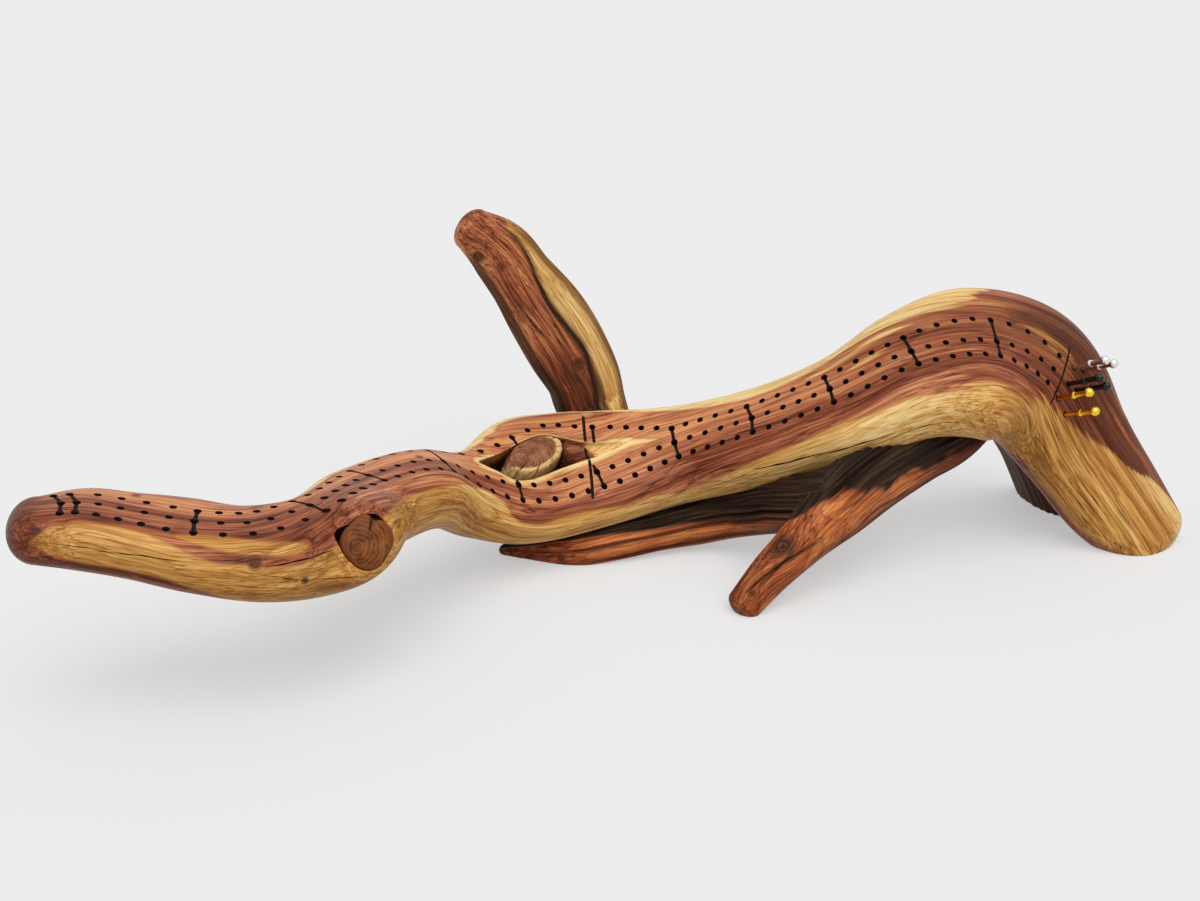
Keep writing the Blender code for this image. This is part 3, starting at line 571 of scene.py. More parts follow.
class Value:
    """A number or a colour in a shader. Sums with it add Math nodes."""

    def __init__(self, owner, socket):
        self.owner, self.socket = owner, socket

    def through(self, operation, *others, clamp=False):
        inputs = dict(enumerate((self, *others)))
        return self.owner.node("ShaderNodeMath", {"operation": operation, "use_clamp": clamp}, inputs)

    def __add__(self, other):
        return self.through("ADD", other)

    def __sub__(self, other):
        return self.through("SUBTRACT", other)

    def __mul__(self, other):
        return self.through("MULTIPLY", other)

    def __truediv__(self, other):
        return self.through("DIVIDE", other)

    def __pow__(self, other):
        return self.through("POWER", other)

    def __rsub__(self, other):
        return (self * -1) + other

    def clip(self):
        return self.through("ADD", 0.0, clamp=True)

    def step(self, low, high):
        """0 at low and 1 at high, held outside them."""
        return ((self - low) * (1 / (high - low))).clip()

    def ridge(self, middle, slope):
        """1 at the middle, falling to 0 on both sides with the slope."""
        return (1 - ((self - middle) * slope).through("ABSOLUTE")).clip()


class Nodes:
    """A node tree being made, of a material or of the world: nodes added one by one."""

    def __init__(self, tree):
        self.tree, self.nodes = tree, tree.nodes

    def put(self, socket, value):
        if isinstance(value, Value):
            self.tree.links.new(value.socket, socket)
        elif isinstance(value, tuple) and len(value) == 3 and socket.type == "RGBA":
            socket.default_value = (*value, 1)
        else:
            socket.default_value = value

    def node(self, kind, settings, inputs, output=0):
        made = self.nodes.new(kind)
        for key, value in settings.items():
            setattr(made, key, value)
        for key, value in inputs.items():
            self.put(made.inputs[key], value)
        return Value(self, made.outputs[output])

    def seen_directly(self):
        """1 for rays from the camera, and for those that metal or glass sends on, and 0 for light."""
        rays = [self.node("ShaderNodeLightPath", {}, {}, f"Is {kind} Ray") for kind in direct_kinds]
        return rays[0].through("MAXIMUM", rays[1]).through("MAXIMUM", rays[2])

    def show(self, output, factor, first, second):
        """Mixes two shaders by the factor and gives them to the output."""
        mixed = self.node("ShaderNodeMixShader", {}, {0: factor, 1: first, 2: second})
        self.put(self.nodes[output].inputs["Surface"], mixed)


class Finish(Nodes):
    """A material being made: a Principled shader and the nodes that feed it."""

    def __init__(self, name, **settings):
        self.material = bpy.data.materials.new(name)
        self.material.use_nodes = True
        super().__init__(self.material.node_tree)
        self.shader = self.nodes["Principled BSDF"]
        for key, value in settings.items():
            self.set(key.replace("_", " "), value)

    def set(self, key, value):
        self.put(self.shader.inputs[key], value)

    def field(self, name, output="Fac"):
        return self.node("ShaderNodeAttribute", {"attribute_name": name}, {}, output)

    def place(self):
        return self.node("ShaderNodeTexCoord", {}, {}, "Object")

    def vector(self, operation, *values, output=0):
        return self.node("ShaderNodeVectorMath", {"operation": operation}, dict(enumerate(values)), output)

    def noise(self, place, stretch, detail=3.0, rough=0.55, output="Fac"):
        scaled = self.vector("MULTIPLY", place, stretch)
        inputs = {"Vector": scaled, "Scale": 1.0, "Detail": detail, "Roughness": rough}
        return self.node("ShaderNodeTexNoise", {}, inputs, output)

    def mix(self, factor, first, second, blend="MIX"):
        settings = {"data_type": "RGBA", "blend_type": blend}
        return self.node("ShaderNodeMix", settings, {0: factor, 6: first, 7: second}, 2)

    def ramp(self, factor, *stops):
        made = self.node("ShaderNodeValToRGB", {}, {"Fac": factor})
        elements = made.socket.node.color_ramp.elements
        while len(elements) < len(stops):
            elements.new(0.5)
        for element, (place, colour) in zip(elements, stops):
            element.position = place
            element.color = (*colour, 1)
        return made

    def bump(self, height, distance, strength=1.0):
        inputs = {"Height": height, "Distance": distance, "Strength": strength}
        self.set("Normal", self.node("ShaderNodeBump", {}, inputs))


heart_stops = (
    (0.1, (0.07, 0.016, 0.006)),
    (0.32, (0.19, 0.048, 0.02)),
    (0.5, (0.33, 0.098, 0.045)),
    (0.68, (0.48, 0.172, 0.078)),
    (0.9, (0.7, 0.31, 0.125)),
)
sap_stops = (
    (0.1, (0.29, 0.108, 0.02)),
    (0.32, (0.48, 0.222, 0.052)),
    (0.5, (0.63, 0.338, 0.093)),
    (0.68, (0.77, 0.48, 0.165)),
    (0.9, (0.88, 0.67, 0.31)),
)
weathered_and_shadowed_stops = (
    (0.28, (0.004, 0.003, 0.002)),
    (0.52, (0.024, 0.013, 0.008)),
    (0.78, (0.12, 0.066, 0.034)),
)


def cedar_finish(name, ring_gap, pith, red=(1.0, 1.0, 1.0), relief=1.0):
    """Oiled red cedar. Points carry their place in the straightened log, how far they lie inside the pale
    sapwood, how weathered they are with painted shadow in the same field, how much darker the tone is,
    partly as painted shade, a shift of the tone that carries painted light on the trunk, the painted shade
    in the hollow, and how near a small knot is."""
    f = Finish(name, Coat_Weight=0.04, Coat_Roughness=0.24, Specular_IOR_Level=0.08)
    place = f.field("grain", "Vector")
    sway = f.noise(place, (13, 42, 42), 2, output="Color")
    bent = f.vector("MULTIPLY_ADD", sway, (0.0, 0.0055, 0.0055), place)
    knot = f.field("knot")
    # Growth rings: distance from the pith, which tapers along the log, read as a saw wave.
    from_pith = f.vector("MULTIPLY", f.vector("SUBTRACT", bent, pith), (0.035, 1, 1))
    ring = f.vector("LENGTH", from_pith, output="Value") / ring_gap + knot.through("MINIMUM", 2.4) * 1.1
    saw = ring.through("FRACT")
    late = saw**5.0 * (1 - saw.step(0.93, 1.0))
    streak = f.noise(bent, (7, 150, 150), 4, 0.6)
    broad = f.noise(bent, (5, 38, 38), 2)
    fibre = f.noise(bent, (45, 1500, 1500), 3, 0.6)
    pore = f.noise(bent, (160, 2600, 2600), 2, 0.5)
    line = f.noise(bent, (8, 430, 430), 3, 0.6)
    figure = (streak * 0.42 + broad * 0.24 + line * 0.34 - 0.5) * 3.1
    vein = f.noise(bent, (7, 640, 640), 2, 0.5).ridge(0.5, 22.0)
    # pale shifts the tone; on the trunk it carries painted light as well as paler and darker wood.
    pale = f.field("pale")
    tone = figure + (fibre - 0.5) * 0.95 - late * 0.26 - vein * 0.24 + pale * 0.5 + 0.55
    heart = f.mix(1.0, f.ramp(tone, *heart_stops), red, "MULTIPLY")
    pale_figure = (streak * 0.3 + broad * 0.36 + line * 0.34 - 0.5) * 2.1
    pale_tone = pale_figure + fibre - 0.5 - late * 0.22 - vein * 0.3 + pale + 0.53
    sap = f.ramp(pale_tone, *sap_stops)
    # The edge of the sapwood breaks up into fingers along the grain.
    finger = (f.noise(bent, (16, 330, 330), 3, 0.6) - 0.5) * f.field("feather")
    inside = f.field("sap") + finger * 2.2
    colour = f.mix(inside.step(-0.0003, 0.0004), heart, sap)
    colour = f.mix(inside.ridge(0.0, 620.0) * 0.55, colour, (0.42, 0.145, 0.042))
    # The deep field darkens the wood in blotches: a darker tone, and painted shade on undersides, lower
    # sides and under the trunk.
    dark_blotch = f.noise(bent, (5, 85, 85), 3, 0.6)
    deep = (f.field("deep") * (dark_blotch.step(0.34, 0.62) * 1.25 + 0.35)).clip()
    colour = f.mix(deep, colour, f.mix(1.0, colour, (1.0, 0.8, 0.66), "MULTIPLY"))
    colour = f.mix(deep, colour, f.mix(0.84, colour, (0.05, 0.014, 0.008)))
    # Weathered wood, and grey-brown lines in its furrows. The same field paints near-black shadow where
    # limbs lie under the trunk, and shade on the trunk's underside.
    furrow = f.noise(bent, (10, 420, 420), 4, 0.65)
    old = f.field("old")
    colour = f.mix(old, colour, f.ramp(furrow * 0.8 + broad * 0.25, *weathered_and_shadowed_stops))
    # Small dark lines along the grain.
    thread = f.noise(bent, (5, 260, 260), 2, 0.5).ridge(0.5, 90.0)
    hair = thread * f.noise(place, (24, 60, 60), 1).step(0.48, 0.58) * f.field("check")
    colour = f.mix(hair * 0.9, colour, (0.04, 0.014, 0.006))
    # A small knot: a dark core and rim, and brown rings round it.
    core = 1 - knot.step(0.1, 0.55)
    rim = knot.ridge(0.85, 6.0)
    near = (1 - knot.step(1.0, 1.9)) * 0.85
    circle = (knot * 3.7 + (streak - 0.5) * 2.2).through("FRACT").step(0.45, 0.95)
    colour = f.mix(near, colour, f.mix(circle, (0.13, 0.046, 0.015), (0.022, 0.009, 0.005)))
    colour = f.mix((core + rim * 0.8).clip() * 0.95, colour, (0.014, 0.006, 0.003))
    # Painted shade in the hollow: near black where it is deepest.
    soot = f.field("soot")
    colour = f.mix(soot, colour, (0.012, 0.007, 0.005))
    f.set("Base Color", colour)
    f.set("Roughness", ((fibre - 0.5) * 0.16 + old * 0.22 + soot * 0.3 + 0.38).clip())
    f.set("Coat Weight", (0.04 - old * 0.04 - soot * 0.04).clip())
    height = fibre * 0.2 - late * 0.22 - hair * 1.6 + pore * 0.08 + furrow * old * 2.6 - core * 0.6
    f.bump(height, 0.00022 * relief, 0.9)
    return f.material


def knot_finish(name, gap, dark, light, rim_colour):
    """A sawn knot: rings round a centre that lies off its middle, a rim of its own colour, and painted shade
    that blackens its cracks and its sunk sides. Points carry their place in the knot, and 0 at its middle to
    1 at its rim."""
    f = Finish(name, Coat_Weight=0.05, Coat_Roughness=0.25, Specular_IOR_Level=0.08)
    place = f.field("grain", "Vector")
    sway = f.noise(place, (150, 150, 60), 2, output="Color")
    bent = f.vector("MULTIPLY_ADD", sway, (0.0042, 0.0042, 0.0), place)
    flat = f.vector("MULTIPLY", bent, (1, 1, 0.08))
    distance = f.vector("LENGTH", flat, output="Value")
    saw = (distance / gap).through("FRACT")
    late = saw**3.0 * (1 - saw.step(0.92, 1.0))
    cloud = f.noise(place, (160, 160, 60), 3)
    fibre = f.noise(place, (900, 900, 200), 2)
    soot = f.field("soot")
    colour = f.mix(((cloud - 0.5) * 1.9 + 0.55 - late * 0.6).clip(), dark, light)
    pale = (f.field("rim") + (cloud - 0.5) * 0.16).step(0.72, 0.78)
    colour = f.mix(pale, colour, f.mix(late * 0.5, rim_colour, dark))
    colour = f.mix((1 - distance / 0.0009).clip(), colour, (0.03, 0.012, 0.007))
    colour = f.mix(soot, colour, (0.014, 0.008, 0.005))
    f.set("Base Color", colour)
    f.set("Roughness", ((cloud - 0.5) * 0.2 + 0.4).clip())
    f.bump(cloud * 0.3 - late * 0.5 + fibre * 0.3 - soot * 1.5, 0.0002, 0.9)
    return f.material


def char_finish():
    """Wood burnt black: a matt crust with a brown bloom where it is thin."""
    f = Finish("burnt_wood", Coat_Weight=0.0, Specular_IOR_Level=0.08)
    crust = f.noise(f.place(), (900, 900, 900), 3)
    f.set("Base Color", f.ramp(crust, (0.35, (0.004, 0.003, 0.003)), (0.75, (0.022, 0.013, 0.009))))
    f.set("Roughness", crust * 0.3 + 0.5)
    f.bump(crust, 0.0001, 0.7)
    return f.material


def metal_finish(name, colour, roughness, metallic, coat):
    """Polished metal or lacquer, with a faint cloud and fine turning marks in its gloss."""
    f = Finish(name, Metallic=metallic, Coat_Weight=coat, Coat_Roughness=0.04, Specular_IOR_Level=0.3)
    place = f.place()
    cloud = f.noise(place, (300, 300, 300), 2)
    mark_lines = f.noise(place, (2500, 2500, 9000), 1)
    worn = tuple(0.86 * part for part in colour)
    f.set("Base Color", f.mix(cloud.step(0.35, 0.75), colour, worn))
    f.set("Roughness", cloud * 0.08 + mark_lines * 0.04 + roughness)
    f.bump(mark_lines, 0.000008, 0.5)
    return f.material


def dowel_finish():
    """Plain birch: fine straight grain along the dowel."""
    f = Finish("birch_rod", Coat_Weight=0.0)
    grain = f.noise(f.place(), (240, 240, 900), 3)
    f.set("Base Color", f.ramp(grain, (0.3, (0.5, 0.34, 0.19)), (0.7, (0.74, 0.57, 0.36))))
    f.set("Roughness", grain * 0.2 + 0.5)
    f.bump(grain, 0.0001, 0.5)
    return f.material


cedar = cedar_finish("oiled_cedar", 0.0021, (0.0, -0.004, -0.034))
limb_cedar = cedar_finish("weathered_cedar", 0.0016, (0.0, 0.004, 0.003), (1.05, 0.88, 0.6), 1.8)
rose_cedar = cedar_finish("rose_cedar", 0.0016, (0.0, 0.004, 0.003), (1.12, 1.08, 1.0), 1.8)
char = char_finish()
deck_knot_colours = (0.1, 0.028, 0.012), (0.43, 0.18, 0.085), (0.78, 0.52, 0.22)
face_knot_colours = (0.06, 0.016, 0.005), (0.33, 0.11, 0.034), (0.2, 0.06, 0.018)
deck_knot_wood = knot_finish("sawn_knot", 0.0017, *deck_knot_colours)
face_knot_wood = knot_finish("face_knot_wood", 0.0019, *face_knot_colours)

trunk = Trunk()
board = "board"


def stay(piece, node, slot, *materials):
    """A finished piece: its materials, the body that it rides on and the node that it stands for."""
    if materials:
        piece.data.materials.clear()
        for material in materials:
            piece.data.materials.append(material)
    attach(piece, board)
    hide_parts(node)
    return piece


# The trunk.


def trunk_form(name, along_count, around, end_count, grow=0.0):
    """The whole trunk: rings along it, swollen round the face knot, and a quarter ellipse at each end."""
    shares = np.linspace(0, 1, around, endpoint=False)
    rings, centres, along = trunk.rings(np.linspace(0, trunk.length, along_count), shares, grow)
    ends = trunk.nose + grow, trunk.heel + grow
    return capped(name, trunk.collar(rings), centres, along, ends, end_count)


def hole_cutters():
    """Every peg hole as one cutter: a straight bore with a small chamfer at the deck."""
    places = np.concatenate([track_holes(trunk, np.arange(1, 62)).reshape(-1, 2), parking_holes(trunk)])
    feet, _, out = trunk.deck(places[:, 0], places[:, 1])
    r, top = hole_radius * 0.94, 0.003
    profile = [(0, -hole_depth), (r * 0.8, -hole_depth), (r, -hole_depth + 0.0005), (r, -0.00012)]
    profile += [(r + 0.0001, 0.00004), (r + 0.0005, 0.0006), (r + 0.0005, top), (0, top)]
    return burnt(turned("bores", feet, out, profile, 20))


def burnt_line(line, width, length, blobs, lift=0.0):
    """A burnt groove through (place, across) points of the deck. It widens at its blobs, given as
    (share along it, added width)."""
    share = np.linspace(0, 1, line_rings)
    for at, more in blobs:
        width = width + more * np.exp(-(((share - at) * length / blob_reach) ** 4))
    points, _, out = trunk.deck(line[:, 0], line[:, 1], lift)
    return groove(trunk.collar(points), out, width, line_depth)


def straight_line(start, stop, width, blobs=(), lift=0.0):
    """A straight burnt line between two points, with round ends and a slightly wavy edge."""
    start, stop = np.array(start), np.array(stop)
    t = np.linspace(0, 1, line_rings)
    length = np.linalg.norm(stop - start)
    wide = width * (0.55 + 0.45 * np.clip(np.minimum(t, 1 - t) * length / 0.0008, 0, 1))
    wide = wide + 0.00012 * np.sin(37 * t + 900 * start[0]) + 0.00008 * np.sin(83 * t + 500 * stop[1])
    return burnt_line(start + (stop - start) * t[:, None], wide, length, blobs, lift)


def street_line(row):
    """The burnt line of a fifth row, from its front hole through its middle one to its back one. Beside the
    hollow it runs in two parts: past the middle hole, and off the back one."""
    front, middle, back = track_holes(trunk, [row])[0]
    if row in split_streets:
        past, reach = split_streets[row]
        blobs = [(0, blob_width), (1 / (1 + past), blob_width)]
        parts = [straight_line(front, middle + (middle - front) * past, line_width, blobs)]
        return parts + [straight_line(back, back + np.array(reach), line_width, blobs[:1])]
    first, second = np.linalg.norm(middle - front), np.linalg.norm(back - middle)
    stops = (0, first / (first + second), 1)
    t = np.linspace(0, 1, line_rings)
    line = np.stack([np.interp(t, stops, ends) for ends in zip(front, middle, back)], axis=-1)
    blobs = [(stop, blob_width) for stop in stops]
    return [burnt_line(line, line_width + 0.0001 * np.sin(41 * t + row), first + second, blobs)]


def street_cutters():
    """The burnt lines: one through each fifth row, the finish row, the skunk line and the start line."""
    found = [line for row in (*range(5, 61, 5), 61) for line in street_line(row)]
    first = row_place(trunk, [1])[0]
    found += [straight_line(start, stop, 0.0017, (), lift) for start, stop, lift in skunk_line]
    start_line = (first + 0.0035, -0.0187), (first + 0.0105, 0.0167)
    found.append(straight_line(*start_line, 0.0012, [(0.78, 0.0008)]))
    half = len(found) // 2
    return [joined_grooves("lines_a", found[:half]), joined_grooves("lines_b", found[half:])]


def crack_cutters():
    """Open cracks along the grain: fine tapered grooves that wander a little."""
    found = []
    for number, (start, low, stop, high, width) in enumerate(cracks):
        t = np.linspace(0, 1, 40)
        wander = 0.0016 * np.sin(5.5 * t + number) + 0.0007 * np.sin(17 * t + 2 * number)
        points, centre = trunk.skin((start + (stop - start) * t) / 1000, low + (high - low) * t + wander)
        wide = width / 1000 * np.sin(math.pi * (0.04 + 0.92 * t)) ** 0.7
        wide = wide * (1 + 0.25 * np.sin(23 * t + number))
        found.append(groove(points, unit(points - centre), wide, 0.0006 + 0.4 * wide))
    return [joined_grooves("cracks_a", found[::2]), joined_grooves("cracks_b", found[1::2])]


def hollow_floor(along):
    """The hollow's depth at shares along it: deep round the knot, then a shelf up to its right tip."""
    shelf = 0.0002 + 0.0036 * (1 - soft(0.7, 1.02, along))
    return shelf + (hollow_depth - shelf) * (1 - soft(0.6, 0.665, along))


def hollow_outline(count):
    """The hollow's edge as a closed smooth curve, in shares along and across it."""
    table = np.array(hollow_shares)
    padded = np.concatenate([table[-3:], table, table[:3]])
    wanted = np.linspace(0, len(table), count, endpoint=False)
    return spline(np.arange(-3, len(table) + 3), padded, wanted)


def hollow_start():
    return row_place(trunk, [hollow_row])[0]


def hollow_cutter():
    """The hollow on a grid of rays and steps from its middle out to its rim. The floor falls away from the
    rim along 1 - exp(-(distance share / 0.035))."""
    rays = 150
    middle = np.array([0.47, 0.42])
    steps = np.array([0.2, 0.4, 0.55, 0.68, 0.78, 0.85, 0.9, 0.94, 0.97, 0.985, 1.0])
    plan = middle + (hollow_outline(rays) - middle) * steps[:, None, None]
    wall = (1 - np.exp(-(1 - steps) / 0.035)) / (1 - math.exp(-1 / 0.035))
    depth = hollow_floor(plan[..., 0]) * wall[:, None] - 0.00002
    depth = np.concatenate([depth.ravel(), np.full(rays, -0.005), [hollow_depth, -0.005]])
    plan = np.concatenate([plan.reshape(-1, 2), plan[-1], [middle, middle]])
    place = hollow_start() + hollow_length * plan[:, 0]
    points, _, _ = trunk.deck(place, -hollow_edge - hollow_width * plan[:, 1], -depth)
    return solid("hollow", points[:-2].reshape(1, -1, rays, 3), points[-2:][None])


def knot_places():
    """Each knot: centre, directions across it and out of it, half width and half height."""
    place = hollow_start() + 0.038
    centre, _, _ = trunk.deck([place], -0.019)
    _, along, out, front = trunk.frame([place])
    turn = math.radians(18)
    wide = along[0] * math.cos(turn) - front[0] * math.sin(turn)
    deck = (centre[0], wide, np.cross(out[0], wide), out[0], 0.02, 0.01075)
    axis = trunk.knot_axis
    level = unit(np.cross(axis, [0, 0, -1]))
    face = (trunk.knot_centre, level, np.cross(axis, level), axis, 0.012, 0.01275)
    return {"window_knot": deck, "face_knot": face}


def in_knot(knot, x, y, height):
    """Points at the given distances across, up and out of a knot."""
    centre, wide, high, axis = knot[:4]
    return centre + x[..., None] * wide + y[..., None] * high + height[..., None] * axis


def face_seam(angle):
    """The open seam round the face knot: thin, with wide dark gaps at its upper left and upper right."""
    left = bell(wrapped(angle - 2.75) / 0.28)
    right = bell(wrapped(angle - 1.15) / 0.2)
    return 0.00035 + 0.003 * left + 0.0028 * right


def face_outline(angle):
    """The face knot's edge as a share of its half sizes: nearly round, notched at the top right."""
    notch = bell(wrapped(angle - 1.15) / 0.2)
    narrow = 0
    for low, share in ((-0.7, 0.13), (-2.35, 0.11), (2.35, 0.05)):
        narrow = narrow + share * bell(wrapped(angle - low) / 0.5)
    return 0.975 - 0.16 * notch - narrow + 0.012 * np.sin(5 * angle)


def socket_cutter():
    """The face knot's socket: its edge and the seam, carried down 11 mm."""
    knot = knot_places()["face_knot"]
    angle = np.linspace(0, 2 * math.pi, 96, endpoint=False)
    reach = face_outline(angle)
    x = (reach * knot[4] + face_seam(angle)) * np.cos(angle)
    y = (reach * knot[5] + face_seam(angle)) * np.sin(angle)
    shrink, heights = np.array([(0.8, -0.011), (0.88, -0.0105), (0.97, -0.004), (1.0, 0.004)]).T[..., None]
    middle = np.zeros(2)
    ends = in_knot(knot, middle, middle, heights[[0, -1], 0])
    return solid("socket", in_knot(knot, x * shrink, y * shrink, heights)[None], ends[None])


def hollow_rim_width(x, y):
    """How far a place lies inside the pale sapwood that rims the hollow: 2 mm wide along its front edge and
    round its left tip, and thinner at its back, from shares along and across the hollow."""
    line = hollow_outline(300)
    size = (hollow_length, hollow_width)
    near = np.full(x.shape, -0.02)
    close = (x > -0.15) & (x < 1.15) & (y > -0.3) & (y < 1.3)
    here = np.stack([x, y], axis=-1)[close] * size
    number = nearest(here, line * size)
    away = np.linalg.norm(here - line[number] * size, axis=1)
    front = np.maximum(soft(0.45, 0.25, line[number, 1]), soft(0.15, 0.0, line[number, 0]))
    near[close] = 0.0008 + 0.0022 * front - away
    return near


def drawn(grain, points, centre, target, reach, pull):
    """The grain's coordinates, drawn towards a knot's own near it, and the distance from the knot."""
    away = np.linalg.norm(points - centre, axis=1)
    return grain + (target - grain) * pull * bell(away / reach)[:, None] * (0, 1, 1), away


def trunk_fields(piece):
    """What the trunk's material reads, worked out from where each point lies in the trunk's sections."""
    points = points_of(piece)
    places = np.linspace(0, trunk.length, 640)
    rings = above_floor(trunk.collar(trunk.rings(places, np.linspace(0, 1, 100, endpoint=False))[0]))
    place, across, lift, here = trunk.locate(points, start_places(points, rings, places))
    share = trunk.share_round(here, across, lift)
    mm = place * 1000
    girth = 0.15
    front = np.minimum(share - keyed(front_edge, mm), keyed(front_lower_edge, mm) - share)
    back = np.minimum(-share - keyed(back_edge, mm), share + 0.4)
    streaks = np.full(len(points), -1.0)
    for streak in pale_streaks:
        found = keyed(streak, mm)
        inside = (mm >= streak[0][0]) & (mm <= streak[-1][0])
        streaks = np.maximum(streaks, np.where(inside, found[:, 1] - np.abs(share - found[:, 0]), -1))
    sap = np.maximum(np.maximum(front, back), streaks)
    sap = np.clip(sap * girth, -0.02, 0.02)

    # Below the deck's surface: inside the hollow, the socket or a hole.
    surface = -trunk.sink(here, across)
    below = np.where(lift > -here[:, 6] * 0.62, surface - lift, 0)
    x = (place - hollow_start()) / hollow_length
    y = (-across - hollow_edge) / hollow_width
    hollow = (x > 0) & (x < 1.02) & (y > -0.03) & (y < 1.03)
    hollow = hollow & (below > 0.00008) & (np.abs(across) < 0.034)
    # A brown burl lies between the knot and the pale floor of the hollow's right tip.
    burl = hollow * soft(0.5, 0.56, x) * soft(0.815, 0.775, x + 0.1 * (y - 0.3))
    burl = burl * soft(0.0002, 0.0012, below) * soft(0.02, 0.1, y - 0.3 * soft(0.75, 0.5, x))
    sap = np.where(hollow, 0.006 - 0.012 * np.maximum(burl, soft(0.62, 0.56, x)), sap)
    # Painted shade darkens the hollow as it deepens; the burl is a little darker too.
    sunk = np.where(hollow, soft(0.002, 0.012, below) * 0.8, 0) + 0.3 * burl
    rim = hollow_rim_width(x, y)
    sap = np.where(hollow, sap, np.maximum(sap, rim))

    feather = 0.001 + 0.008 * soft(455, 500, mm) * (1 - 0.55 * soft(612, 640, mm))
    feather = np.where(hollow, 0.0005, feather + 0.004 * bell((mm - 250) / 25))
    off = np.abs(share)
    # The darkening: painted shade on the underside, along the lower front from 40 to 300 mm and at its lower
    # left end; and darker at the nose's end, on the back beyond 530 mm and along the deck's middle beyond
    # 420 mm, less on the front sapwood past 560 mm and on the pale streaks.
    under = soft(0.4, 0.47, off) * soft(630, 560, mm)
    deep = 0.6 * soft(8, -8, mm) + 0.6 * soft(580, 625, mm) * soft(0.08, -0.02, share)
    deep = deep + 0.8 * soft(0.0, -0.12, share) * soft(530, 580, mm) + 0.25 * under
    deep = deep + 0.3 * soft(420, 540, mm) * soft(0.16, 0.06, off) + 0.05
    deep = deep + 0.3 * soft(0.24, 0.34, share) * soft(40, 80, mm) * soft(300, 220, mm)
    low_left = soft(0.27, 0.31, share) * soft(95, 40, mm) * 0.25
    deep = deep * (1 - 0.9 * soft(-0.004, 0.008, front) * soft(560, 600, mm))
    deep = deep * (1 - 0.5 * soft(-0.008, 0.004, streaks))
    deep = np.clip(deep + low_left, 0, 1)
    check = 0.45 + 0.35 * soft(0.1, 0.16, share) + 0.7 * soft(580, 620, mm) * soft(0.02, 0.1, share)
    check = check * (1 - 0.6 * bell((mm - 545) / 30) * (share > 0.08))

    grain = np.stack([place, across, lift], axis=-1)
    # The grain flows round each knot: within reach of it, the place in the section is drawn to its own.
    knot = np.full(len(points), 9.0)
    around = [(trunk.skin([s / 1000], [v])[0][0], r / 1000, 0.72) for s, v, r in small_knots]
    around.append((knot_places()["window_knot"][0], 0.0085, 0.55))
    around.append((trunk.knot_centre, 0.0085, 0.6))
    for number, (centre, radius, pull) in enumerate(around):
        at = np.concatenate(trunk.locate(centre[None])[:3])
        grain, away = drawn(grain, points, centre, at, 2.6 * radius, pull)
        if number < len(small_knots):
            knot = np.minimum(knot, away / radius)
    soot = np.clip(sunk, 0, 0.92)
    # pale shifts the tone. Painted light: the back of the trunk is paler, the front side darker and the heel
    # a little paler. The other terms are paler and darker patches of the wood, and the hollow's own tone.
    pale = 0.26 * soft(0.06, -0.12, share) - 0.08 * soft(0.1, 0.18, share) + 0.04 * soft(560, 620, mm)
    pale = pale + 0.2 * bell((mm - 350) / 120) - 0.16 * soft(180, 90, mm) * soft(0.16, 0.1, off)
    pale = pale + 0.14 * bell((mm - 480) / 60) * soft(0.1, 0.16, share)
    pale = pale - 0.16 * soft(560, 620, mm) * soft(-0.004, 0.004, front)
    last_streak = (mm > 548) & (mm < 596) & (share < 0)
    pale = pale - 0.22 * last_streak * soft(0.03, 0.04, off) * soft(0.12, 0.1, off)
    pale = np.where(hollow, 0.1 - 0.3 * burl, pale)
    mark(piece, grain=grain, sap=sap, feather=feather, deep=deep, check=check, knot=knot, soot=soot)
    # The underside, out to 630 mm, is weathered wood with painted shade on it.
    mark(piece, old=0.75 * under, pale=pale)


body = trunk_form("trunk", 640, 100, 12)
for material in (cedar, char):
    body.data.materials.append(material)
carve(body, hollow_cutter(), socket_cutter(), *crack_cutters(), *street_cutters(), hole_cutters())
trunk_fields(body)
body.data.set_sharp_from_angle(angle=math.radians(42))
stay(body, "trunk_board", "heartwood")


# The sawn knots.

# The stub in the hollow: the radius share and the height in millimetres of each ring, from the middle of
# its top to its foot, and the angles and depths of the checks in its rim. Then the rings of the front disc.
knot_profile = (
    (0.1, 1.2), (0.22, 1.25), (0.36, 1.27), (0.5, 1.25), (0.61, 1.2), (0.7, 1.1), (0.77, 0.95),
    (0.81, 0.7), (0.84, 0.4), (0.86, 0.0), (0.87, -0.6), (0.88, -1.4), (0.89, -2.6), (0.9, -4.2),
    (0.93, -6.5), (0.95, -9.5), (0.96, -13.0), (0.955, -17.0), (0.93, -20.5),
)
knot_checks = (
    (-0.35, 0.06), (-0.75, 0.09), (-1.25, 0.05), (-1.9, 0.07), (0.4, 0.05), (2.6, 0.04), (-2.6, 0.08),
)
disc_profile = (
    (0.12, 0.95), (0.26, 0.9), (0.4, 0.82), (0.54, 0.72), (0.66, 0.6), (0.77, 0.42), (0.86, 0.18),
    (0.93, -0.15), (0.975, -0.55), (1.0, -1.1), (1.0, -2.5), (0.97, -5.0), (0.9, -8.0), (0.84, -10.6),
)


